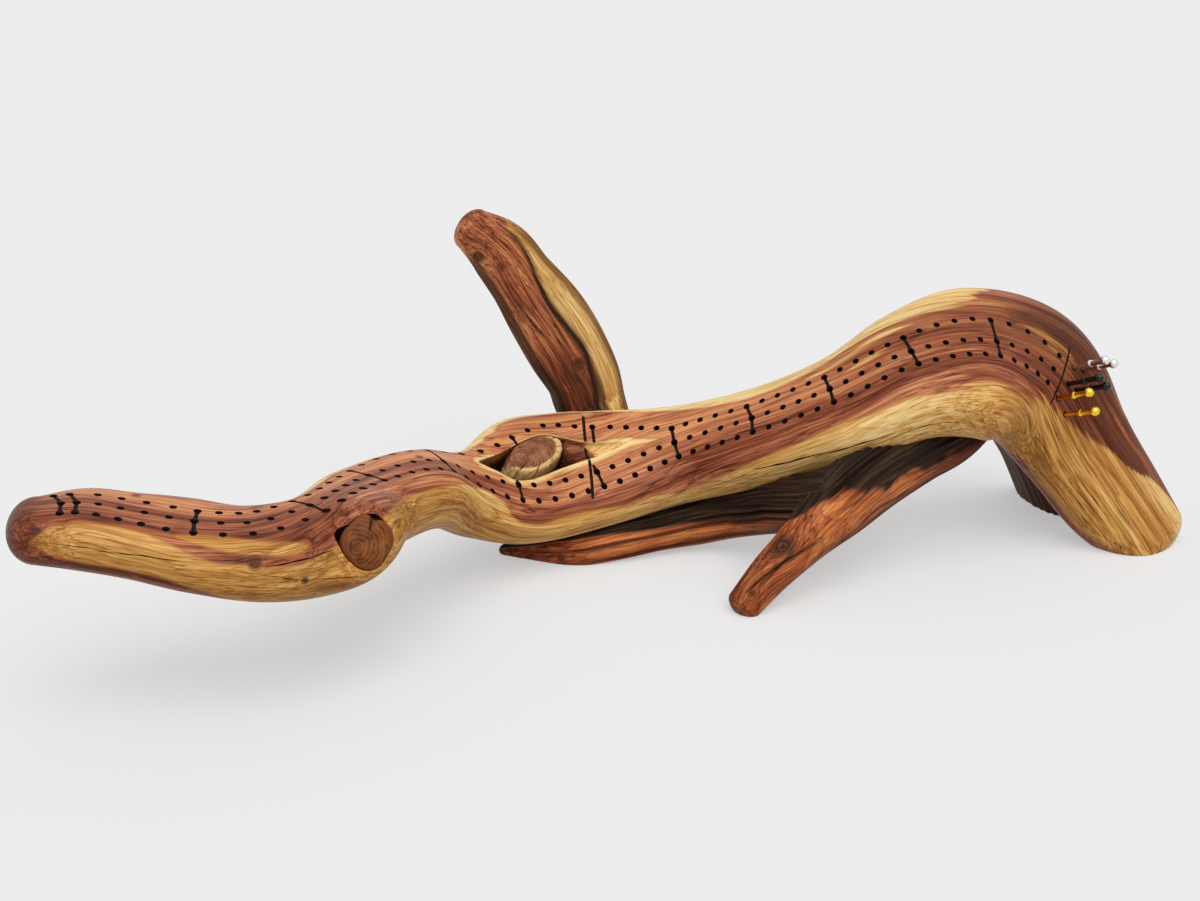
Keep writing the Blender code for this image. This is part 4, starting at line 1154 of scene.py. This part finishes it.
def window_knot():
    """The sawn stub in the hollow: its top is a flat oval that tips a little, its rim is rounded and
    notched by short cracks, and its barky side spreads towards its foot."""
    knot = knot_places()["window_knot"]
    centre, wide, high, axis, half_wide, half_high = knot
    angle = np.linspace(0, 2 * math.pi, 160, endpoint=False)
    wave = 1 + 0.03 * np.sin(2 * angle + 0.6) + 0.022 * np.sin(3 * angle + 2) + 0.012 * np.sin(7 * angle)
    notch = sum(size * bell(wrapped(angle - at) / 0.022) for at, size in knot_checks)
    out, up = np.array(knot_profile).T[..., None]
    share = out * wave * (1 - notch * soft(0.5, 0.78, out))
    share = np.minimum(share + soft(0.78, 0.9, out) * 0.02 * ripple(up / 30, angle, 5, (9, 24), 30), 0.99)
    shift = 0.1 * (1 - soft(0.72, 0.92, out))
    tip = 0.00035 * share * np.cos(angle) * (1 - soft(0.78, 0.9, out))
    rise = up / 1000 + tip - 0.0009 * soft(0.5, 0.76, out) * (notch > 0.03)
    x, y = share * np.cos(angle) + 1.3 * shift, share * np.sin(angle) + shift
    rings = in_knot(knot, x * half_wide, y * half_high, rise)[None]
    top = centre + 0.0012 * axis + 0.1 * high * half_high + 0.05 * wide * half_wide
    made = solid("window_knot_stub", rings, np.stack([top, centre - 0.0205 * axis])[None])
    local = (points_of(made) - centre) @ np.stack([wide, high, axis], axis=-1)
    x, y = local[:, 0] / half_wide - 0.05, local[:, 1] / half_high - 0.1
    rim, turn = np.hypot(x, y), np.arctan2(y, x)
    rim = rim + 0.14 * np.cos(turn + 0.5) * soft(0.2, 0.6, rim) - 0.06
    # Painted shade: darker down the stub's side into the hollow, and black in its deeper checks.
    soot = soft(-0.004, -0.015, local[:, 2]) * 0.85
    for at, size in knot_checks:
        black = 0.85 * (size > 0.04) * bell(wrapped(turn - at) / 0.022)
        soot = np.maximum(soot, black * soft(0.6, 0.74, rim) * soft(1.05, 0.9, rim))
    mark(made, grain=local + (0.0045, -0.0005, 0), rim=rim, soot=np.clip(soot, 0, 1))
    made.data.set_sharp_from_angle(angle=math.radians(50))
    return stay(made, "window_knot", "dark_knot", deck_knot_wood)


def face_knot():
    """The knot on the front: a slightly domed disc with a rounded rim and one crack from its centre up."""
    knot = knot_places()["face_knot"]
    centre, wide, high, axis, half_wide, half_high = knot
    angle = np.linspace(0, 2 * math.pi, 144, endpoint=False)
    out, up = np.array(disc_profile).T[..., None]
    share = out * face_outline(angle)
    crack = bell(wrapped(angle - 1.3) / 0.05) * soft(0.3, 0.6, out)
    height = up / 1000 - 0.0012 * crack + 0.0001 * np.sin(out * 38 + 0.8 * np.sin(2 * angle))
    rings = in_knot(knot, share * half_wide * np.cos(angle), share * half_high * np.sin(angle), height)[None]
    made = solid("face_knot_disc", rings, np.stack([centre + 0.00098 * axis, centre - 0.0106 * axis])[None])
    local = (points_of(made) - centre) @ np.stack([wide, high, axis], axis=-1)
    turn = np.arctan2(local[:, 1], local[:, 0])
    radius = np.hypot(local[:, 0] / half_wide, local[:, 1] / half_high)
    gap = wrapped(turn - 1.3) * np.maximum(radius, 0.05)
    # Painted shade: black along its crack, and darker down its side into the socket.
    soot = bell(gap / 0.035) * soft(0.3, 0.6, radius)
    soot = np.maximum(soot, soft(-0.0004, -0.004, local[:, 2]) * 0.9)
    mark(made, grain=local + (0.0022, -0.001, 0), rim=radius, soot=np.clip(soot, 0, 1))
    return stay(made, "face_knot", "dark_knot", face_knot_wood)


window_knot()
face_knot()


# The limbs.

upright_shares = (
    (0.0, 0.35, 0.55, 0.0, 0.76, 0.74),
    (0.13, 0.7, 1.0, 0.0, 0.98, 0.96),
    (0.28, 1.2, 0.81, 0.0, 1.05, 1.0),
    (0.43, 1.3, 0.65, 0.0, 1.12, 1.0),
    (0.6, 1.3, 0.48, 0.0, 1.08, 0.96),
    (0.76, 1.1, 0.28, 0.0, 0.92, 0.88),
    (0.92, 0.7, 0.07, 0.0, 0.82, 0.76),
    (1.0, 0.0, 0.0, 0.0, 0.6, 0.6),
)
prop_shares = (
    (0.0, 0.0, 0.0, 0.0, 0.58, 0.66),
    (0.09, 0.0, 0.0, 0.64, 0.68, 0.78),
    (0.2, 0.0, 0.0, 1.0, 0.8, 0.9),
    (0.34, 0.0, 0.0, 1.51, 1.2, 1.06),
    (0.5, 0.0, 0.0, 1.4, 1.3, 1.06),
    (0.67, 0.0, 0.0, 0.6, 1.3, 1.0),
    (0.83, 0.0, 0.0, -0.49, 1.2, 1.0),
    (1.0, 0.0, 0.0, 0.0, 1.0, 1.0),
)
under_shares = (
    (0.0, 0.0, 0.0, 0.0, 0.36, 0.36),
    (0.08, 0.0, 0.0, 0.12, 0.62, 0.6),
    (0.21, 0.02, 0.02, 0.34, 0.9, 0.84),
    (0.33, 0.32, 0.32, 0.5, 0.96, 0.94),
    (0.44, 0.7, 0.7, 0.74, 0.92, 0.94),
    (0.56, 0.98, 0.98, 0.82, 1.1, 0.94),
    (0.68, 1.0, 1.0, 0.6, 1.25, 0.96),
    (0.82, 0.68, 0.68, 0.19, 1.45, 1.0),
    (1.0, 0.0, 0.0, -0.35, 1.45, 1.0),
)
rear_shares = (
    (0.0, 0.0, 0.0, 0.0, 1.0, 1.1),
    (0.35, 0.0, 0.0, 0.6, 0.94, 1.0),
    (0.7, 0.0, 0.0, 1.0, 0.96, 0.92),
    (1.0, 0.0, 0.0, 0.0, 1.04, 0.86),
)


# Where tones change on the limbs: the way along a limb, and the angle in degrees. The upright's red side
# ends at its seam, and near-black wood lies above the edges of the prop and the under limb: weathered, and
# painted shadow from the trunk over it. Dark strands of grain follow: an angle, and the ways where each
# begins and ends.
upright_seam = (
    (0.0, 92), (0.08, 91), (0.275, 84), (0.415, 73), (0.525, 78), (0.657, 80), (0.798, 65), (0.892, 54),
    (1.0, 40),
)
prop_weathered_shadow_edge = (
    (0.0, 250), (0.2, 235), (0.234, 190), (0.277, 162), (0.361, 124), (0.443, 101), (0.577, 84),
    (0.784, 70), (1.0, 62),
)
under_weathered_shadow_edge = (
    (0.0, 138), (0.09, 138), (0.178, 146), (0.255, 144), (0.341, 134), (0.441, 127), (0.581, 117),
    (1.0, 118),
)
upright_strands = ((104, 0.1, 0.55), (116, 0.2, 0.8), (128, 0.05, 0.5), (121, 0.5, 0.95))
prop_strands = (
    (108, 0.3, 0.62), (88, 0.42, 0.75), (60, 0.2, 0.6), (40, 0.1, 0.5), (12, 0.15, 0.6), (128, 0.02, 0.2),
)


class Limb:
    """A limb between two points, bowed between them, with a rounded end at each."""

    power = 2.3

    def __init__(self, shares, first, last, bow, sizes, facing, ends):
        self.shares = np.array(shares)
        self.first, self.last = np.array(first), np.array(last)
        self.bow, self.sizes, self.facing = np.array(bow), np.array(sizes), np.array(facing, float)
        self.ends = ends

    def stations(self, ways):
        here = spline(self.shares[:, 0], self.shares[:, 1:], ways)
        middle = self.first + (self.last - self.first) * np.asarray(ways)[:, None]
        return middle + here[:, :3] * self.bow, here[:, 3:] * self.sizes

    def frames(self, ways):
        """Middles, the directions along, across and out at them, and the width and thickness."""
        middle, size = self.stations(ways)
        along = unit(np.gradient(middle, axis=0))
        deep = unit(self.facing - (along @ self.facing)[:, None] * along)
        return middle, along, np.cross(along, deep), deep, size

    def form(self, name, relief, along_count, around):
        """The limb's skin: rings of a superellipse, pressed in by the relief at each way and angle."""
        ways = np.linspace(0, 1, along_count)
        middle, along, wide, deep, size = self.frames(ways)
        angle = np.linspace(0, 2 * math.pi, around, endpoint=False)
        across, up = outline(angle, self.power, self.power)
        half, thick = size[:, :1] / 2, size[:, 1:] / 2
        press = 1 + relief(ways[:, None], angle[None]) / half
        side = (half * across * press)[..., None] * wide[:, None]
        rings = middle[:, None] + side + (thick * up * press)[..., None] * deep[:, None]
        self.made = rings, ways
        return capped(name, rings, middle, along, self.ends, 10)

    def locate(self, points, start=None):
        """For each point: the way along the limb, the length to there, and the place and angle across."""
        ways = np.linspace(0, 1, 600)
        lines = self.frames(ways)
        length = np.concatenate([[0], np.cumsum(np.linalg.norm(np.diff(lines[0], axis=0), axis=1))])
        start = None if start is None else np.interp(start, ways, length)
        place, beyond, away, (_, _, wide, deep, size) = settle(points, length, lines, start, 0.0008)
        x, y = (away * wide).sum(axis=1), (away * deep).sum(axis=1)
        angle = np.arctan2(y / size[:, 1], x / size[:, 0])
        return np.interp(place, length, ways) + beyond / length[-1], place + beyond, x, y, angle


def limb_list():
    """The four limbs, from their roots in the trunk or in each other to their free ends."""
    front, free = (0, -1, 0), (-0.0657, 0.0312, 0.117)
    root = trunk.core(0.478 * trunk.length, 0.5, -0.45)
    sizes, ends = (0.04, 0.03), (0.005, 0.008)
    upright = Limb(upright_shares, root, root + free, (0.009, 0.017, 0), sizes, front, ends)
    root = trunk.core(0.82 * trunk.length, 0.72, 0.2)
    foot = np.array([root[0] - 0.1655, root[1] - 0.0362, 0.004])
    prop = Limb(prop_shares, foot, root, (0, 0, 0.007), (0.03, 0.026), front, (0.006, 0.00375))
    fork = prop.stations(np.array([0.34]))[0][0]
    tip = np.array([fork[0] - 0.1413, fork[1] + 0.0997, 0.002])
    sizes, ends = (0.022, 0.028), (0.0055, 0.00275)
    under = Limb(under_shares, tip, fork, (0.018, 0.026, -0.012), sizes, front, ends)
    root = trunk.core(0.795 * trunk.length, 0.6, 0.0)
    foot = np.array([root[0] + 0.0777, root[1] + 0.0273, 0])
    rear = Limb(rear_shares, root, foot, (0, 0, 0.006), (0.052, 0.028), (1, 0, 0.4), (0.0047, 0.007))
    return upright, prop, under, rear


upright, prop, under, rear = limb_list()


def at_angle(angle, degrees, width):
    """A bump round one angle, 1 at its middle, of the given width in degrees."""
    return bell(wrapped(angle - np.radians(degrees)) / math.radians(width))


def dent(way, angle, at, degrees, wide_way, wide_degrees):
    """A bump round one place of a limb's skin."""
    return bell((way - at) / wide_way) * at_angle(angle, degrees, wide_degrees)


def worn(way, length, angle, seed, counts, drift):
    """Relief of a weathered limb of the given length in metres, from 0 up."""
    return 1 + ripple(way * length, angle, seed, counts, drift)


def degrees_of(angle):
    return (np.degrees(angle) + 90) % 360 - 90


def past(table, way, angle, width):
    """How far an angle lies past an edge of the table, as a smooth step."""
    away = degrees_of(angle) - keyed(table, way)
    return soft(-width, width, away) * soft(290, 250, degrees_of(angle))


def strands(rows, way, degrees, sway, turns, width, fades):
    """Dark strands along a limb that sway by some degrees and fade in and out at their ends."""
    total = 0
    for at, first, last in rows:
        away = degrees - at - sway * np.sin(way * turns + at)
        ends = soft(first, first + fades[0], way) * soft(last, last - fades[1], way)
        total = total + bell(away / width) * ends
    return total


def prop_crack(way, angle, width):
    """The long crack that slants along the prop's lower half."""
    away = degrees_of(angle) - (152 - 240 * np.clip(way, 0, 0.3))
    return bell(away / width) * soft(0.0, 0.03, way) * soft(0.26, 0.2, way)


def plain(level):
    return lambda way, angle: level + 0 * way


def upright_relief(way, angle):
    flow = -0.00035 * worn(way, 0.14, angle, 11, (12, 30), 60)
    away = degrees_of(angle) - keyed(upright_seam, way) - 2
    seam = -0.0015 * bell(away / 4) * soft(0.0, 0.1, way) * soft(1.0, 0.85, way)
    knots = dent(way, angle, 0.369, 92, 0.02, 7) + dent(way, angle, 0.955, 133, 0.02, 9)
    return flow + seam - 0.001 * at_angle(angle, 148, 7) - 0.0009 * knots


def prop_relief(way, angle):
    furrows = -0.0013 * past(prop_weathered_shadow_edge, way, angle, 8) * worn(way, 0.2, angle, 21, (14, 34), 40)
    smooth = -0.00015 * worn(way, 0.2, angle, 22, (3, 9), 30)
    split = -0.0009 * dent(way, angle, 0.09, 185, 0.07, 38) * worn(way, 0.2, angle, 23, (18, 40), 30)
    swirl = -0.0016 * dent(way, angle, 0.152, 162, 0.022, 14)
    crack = -0.0014 * prop_crack(way, angle, 3.5)
    low = -0.0006 * at_angle(angle, 30, 30) * soft(0.15, 0.3, way)
    return furrows + smooth + split + swirl + crack + low * worn(way, 0.2, angle, 24, (24, 48), 20)


def under_relief(way, angle):
    furrows = -0.0011 * past(under_weathered_shadow_edge, way, angle, 8) * worn(way, 0.17, angle, 31, (14, 34), 40)
    knots = -0.0007 * dent(way, angle, 0.072, 74, 0.012, 9) - 0.0008 * dent(way, angle, 0.178, 87, 0.018, 9)
    grooves = -0.0009 * under_grooves(way, angle, 4)
    return furrows + grooves + knots - 0.0003 * worn(way, 0.17, angle, 32, (8, 26), 30)


def under_grooves(way, angle, width):
    """The two open seams along the under limb's front."""
    upper, lower = at_angle(angle, 106, width), at_angle(angle, 62, width)
    return upper * soft(0.0, 0.2, way) + lower * soft(0.08, 0.2, way)


def rear_relief(way, angle):
    return -0.0009 * worn(way, 0.13, angle, 41, (12, 34), 30) - 0.0003


def limb_fields(piece, limb, pith, old, deep, check, sap=plain(-0.02), pale=plain(0.0), knots=()):
    """What a limb's material reads. All but its pith and its knots are functions of way and angle."""
    points = points_of(piece)
    way, length, x, y, angle = limb.locate(points, start_places(points, *limb.made))
    grain = np.stack([length, x + pith[0], y + pith[1]], axis=-1)
    knot = np.full(len(points), 9.0)
    for at, degrees, radius in knots:
        near = limb.frames(np.array([at - 0.01, at, at + 0.01]))
        middle, _, wide, thick, size = (part[1] for part in near)
        across, up = outline(np.array([math.radians(degrees)]), limb.power, limb.power)
        centre = middle + size[0] / 2 * across * wide + size[1] / 2 * up * thick
        _, at_length, at_x, at_y, _ = limb.locate(centre[None])
        target = np.concatenate([at_length, at_x + pith[0], at_y + pith[1]])
        grain, away = drawn(grain, points, centre, target, 2.8 * radius, 0.7)
        knot = np.minimum(knot, away / radius)
    mark(
        piece,
        grain=grain,
        sap=np.clip(sap(way, angle), -0.02, 0.02),
        feather=np.full(len(points), 0.0016),
        deep=np.clip(deep(way, angle), 0, 1),
        check=np.clip(check(way, angle), 0, 1),
        old=np.clip(old(way, angle), 0, 1),
        knot=knot,
        soot=np.zeros(len(points)),
        pale=pale(way, angle),
    )


def upright_sap(way, angle):
    edge = keyed(upright_seam, way)
    gold = np.minimum(edge - degrees_of(angle), degrees_of(angle) + 62)
    return gold * 0.0003 * soft(0.99, 0.9, way) - 0.02 * soft(0.93, 0.99, way)


def upright_old(way, angle):
    d = degrees_of(angle)
    seam = 1.3 * bell((d - keyed(upright_seam, way) - 3) / 5) * soft(1.0, 0.85, way)
    olive = 0.5 * soft(54, 36, d) * soft(0.97, 0.85, way)
    left = 0.8 * soft(134, 150, d) * soft(1.0, 0.93, way)
    strand = 0.7 * strands(upright_strands, way, d, 4, 17, 1.6, (0.08, 0.1))
    return np.clip(seam, 0, 1) + olive + left + strand + 0.55 * soft(0.26, 0.1, way) * soft(80, 94, d)


def prop_weathering_and_shade(way, angle):
    swirl = 0.95 * dent(way, angle, 0.152, 162, 0.028, 26)
    wedge = 0.35 * dent(way, angle, 0.085, 185, 0.06, 40)
    low = 0.35 * at_angle(angle, 25, 26) * soft(0.2, 0.3, way)
    strand = 0.9 * strands(prop_strands, way, degrees_of(angle), 5, 26, 2.6, (0.06, 0.08))
    wander = angle + 0.1 * np.sin(way * 31) + 0.05 * np.sin(way * 83)
    # Near-black weathered wood on the top, with painted shadow from the trunk over it.
    black = 1.25 * past(prop_weathered_shadow_edge, way, wander, 11)
    return black + swirl + wedge + 0.9 * prop_crack(way, angle, 4) + low + strand


# Painted shade: shadow from the trunk on the top, more towards the root, on the lower side and at the foot.
def prop_shade_and_tone(way, angle):
    low = 0.45 * soft(70, 40, degrees_of(angle)) * soft(0.12, 0.3, way)
    ends = 0.25 * soft(0.5, 0.8, way) + 0.3 * soft(0.05, 0.0, way)
    return 0.75 * past(prop_weathered_shadow_edge, way, angle, 18) + ends + low + 0.04


def under_weathering_and_shade(way, angle):
    low = 0.35 * at_angle(angle, 50, 22) * soft(0.1, 0.25, way)
    grooves = 0.85 * under_grooves(way, angle, 3.5)
    # Past the edge lies near-black weathered wood, with painted shadow from the trunk over it.
    return past(under_weathered_shadow_edge, way, angle, 7) + low + grooves + 0.4 * at_angle(angle, 300, 40)


# Painted shadow from the trunk on the top, darker towards the tip, and a little darker all over.
def under_shade_and_tone(way, angle):
    return 0.75 * past(under_weathered_shadow_edge, way, angle, 20) + 0.15 + 0.35 * soft(0.12, 0.0, way)


core = trunk_form("core", 260, 56, 6, -0.0008)
core.hide_render = True


def limb_piece(name, limb, relief, size, node, wood, **fields):
    """A limb's skin without the part of it that lies inside the trunk, with what its material reads."""
    piece = limb.form(name, relief, *size)
    copy = core.copy()
    copy.data = core.data.copy()
    bpy.context.scene.collection.objects.link(copy)
    carve(piece, copy)
    limb_fields(piece, limb, **fields)
    piece.data.set_sharp_from_angle(angle=math.radians(70))
    return stay(piece, node, "heartwood", wood)


def upright_deep(way, angle):
    d = degrees_of(angle)
    base = soft(0.24, 0.12, way) * soft(76, 92, d)
    return np.maximum(soft(0.58, 0.26, way) * soft(68, 84, d), base) + 0.08


def upright_pale(way, angle):
    d = degrees_of(angle)
    return 0.24 - 0.14 * soft(84, 70, d) - 0.3 * soft(54, 38, d) - 0.1 * soft(0.3, 0.15, way)


def prop_pale(way, angle):
    """The prop is paler on the split wedge below its knot, and along its red upper band."""
    wedge = 0.42 * dent(way, angle, 0.085, 180, 0.06, 34)
    return 0.06 + wedge + 0.14 * at_angle(angle, 96, 26) * soft(0.18, 0.3, way)


limb_piece(
    "upright", upright, upright_relief, (300, 200), "upright_limb", rose_cedar, pith=(0.006, -0.004),
    sap=upright_sap, old=upright_old, deep=upright_deep, check=plain(0.8), pale=upright_pale,
    knots=((0.369, 92, 0.0026), (0.955, 133, 0.0026)),
)
limb_piece(
    "prop", prop, prop_relief, (330, 240), "prop_limb", limb_cedar, pith=(0.002, 0.008),
    old=prop_weathering_and_shade, deep=prop_shade_and_tone, check=plain(0.9), pale=prop_pale,
    knots=((0.152, 162, 0.0042), (0.022, 131, 0.0014)),
)
limb_piece(
    "under", under, under_relief, (300, 200), "under_limb", limb_cedar, pith=(0.003, 0.006),
    old=under_weathering_and_shade, deep=under_shade_and_tone, check=plain(0.9), pale=plain(0.1),
    knots=((0.072, 74, 0.0013), (0.178, 87, 0.0018)),
)
# The rear leg is weathered, and painted shade darkens it all over where it stands behind the heel.
limb_piece(
    "rear", rear, rear_relief, (160, 120), "rear_leg", limb_cedar, pith=(0.004, 0.003),
    old=plain(0.55), deep=plain(0.7), check=plain(0.6),
)
bpy.data.objects.remove(core)


# The pegs and the dowels.


def ball_arc(radius, middle, first, last, steps):
    """Profile points on a ball, from one height off its middle up to another."""
    turns = np.linspace(math.asin(first / radius), math.asin(last / radius), steps)
    return [(radius * math.cos(turn), middle + radius * math.sin(turn)) for turn in turns]


def pegs():
    """Each peg turned from one profile: shaft, thin neck, a ball collar and a ball head."""
    neck, shaft, head, collar, waist = 0.00125, 0.00135, 0.0025, 0.002, 0.0016
    collar_middle, head_middle, foot = 0.0115, 0.0217, 0.0006 - hole_depth
    head_end, collar_end = math.sqrt(head**2 - waist**2), math.sqrt(collar**2 - waist**2)
    below, above = collar_middle - collar_end, collar_middle + collar_end
    profile = [(0, foot), (shaft - 0.0004, foot), (shaft, foot + 0.0004), (shaft, -0.0012), (neck, 0)]
    profile += [(neck, below - 0.0008), (waist, below - 0.0002)]
    profile += ball_arc(collar, collar_middle, -collar_end, collar_end, 14)
    profile += [(waist - 0.0001, above + 0.0004), (waist - 0.0001, head_middle - head_end - 0.0004)]
    profile += ball_arc(head, head_middle, -head_end, head * 0.995, 22)
    profile += [(0, head_middle + head)]
    metals = {
        "gold": metal_finish("polished_brass_peg", (0.95, 0.62, 0.06), 0.12, 1.0, 0.0),
        "black": metal_finish("black_lacquer_peg", (0.006, 0.006, 0.007), 0.12, 0.0, 0.12),
        "silver": metal_finish("chrome_peg", (0.82, 0.82, 0.83), 0.05, 1.0, 0.0),
    }
    places = parking_holes(trunk)
    feet, _, out = trunk.deck(places[:, 0], places[:, 1])
    for i, colour in enumerate(("gold", "gold", "black", "black", "silver", "silver")):
        node = f"peg_{colour}_{i % 2 + 1}"
        made = turned(f"{colour}_peg_{i % 2 + 1}", feet[i : i + 1], out[i : i + 1], profile, 48)
        made.data.materials.append(metals[colour])
        made.data.set_sharp_from_angle(angle=math.radians(50))
        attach(made, f"{node}_body")
        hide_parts(node)


pegs()
birch = dowel_finish()
for name in ("upright_dowel", "prop_dowel", "fork_dowel", "rear_dowel"):
    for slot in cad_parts[name].material_slots:
        slot.material = birch


# The floor, the light and the camera.

horizon_light = 0.13
overhead_light = 0.72
room_tone = 0.845


def floor():
    """A plain pale floor out to the horizon."""
    side = 9.0
    corners = [(-side, -side, 0), (side, -side, 0), (side, side, 0), (-side, side, 0)]
    mesh = bpy.data.meshes.new("floor")
    mesh.from_pydata(corners, [], [(0, 1, 2, 3)])
    made = bpy.data.objects.new("floor", mesh)
    bpy.context.scene.collection.objects.link(made)
    made.location.z = -0.00005
    f = Finish("pale_floor", Roughness=0.9, Specular_IOR_Level=0.1)
    f.set("Base Color", (0.67, 0.67, 0.67))
    glow = f.node("ShaderNodeEmission", {}, {})
    f.show("Material Output", f.seen_directly() * 0.43, Value(f, f.shader.outputs[0]), glow)
    mesh.materials.append(f.material)


def light():
    """A soft sun from the camera's left, high up, and a sky that is brighter overhead than at the horizon.
    What is seen directly, or in metal, is the pale room instead."""
    lamp = bpy.data.lights.new("key", "SUN")
    lamp.energy = 1.95
    lamp.angle = math.radians(60)
    sun = bpy.data.objects.new("key", lamp)
    sun.rotation_euler = Vector((0.12, 0.62, -1.0)).to_track_quat("-Z", "Y").to_euler()
    bpy.context.scene.collection.objects.link(sun)
    world = bpy.data.worlds.new("studio")
    bpy.context.scene.world = world
    world.use_nodes = True
    w = Nodes(world.node_tree)
    way = w.node("ShaderNodeTexCoord", {}, {}, "Generated")
    height = w.node("ShaderNodeSeparateXYZ", {}, {0: way}, "Z")
    reach = {"From Min": 0.0, "From Max": 0.9, "To Min": horizon_light, "To Max": overhead_light}
    strength = w.node("ShaderNodeMapRange", {}, {"Value": height, **reach})
    sky = w.nodes["Background"]
    w.put(sky.inputs["Strength"], strength)
    w.put(sky.inputs["Color"], (1, 1, 1))
    room = w.node("ShaderNodeBackground", {}, {"Color": (room_tone, room_tone, room_tone)})
    w.show("World Output", w.seen_directly(), Value(w, sky.outputs[0]), room)


def camera():
    lens = bpy.data.cameras.new("camera")
    lens.lens = 45
    lens.sensor_width = 36
    lens.clip_end = 50
    made = bpy.data.objects.new("camera", lens)
    made.location = (-0.2839, -0.666, 0.3294)
    made.rotation_euler = (math.radians(70), 0, math.radians(-22))
    bpy.context.scene.collection.objects.link(made)
    bpy.context.scene.camera = made


floor()
light()
camera()
bpy.context.scene.view_settings.view_transform = "Standard"
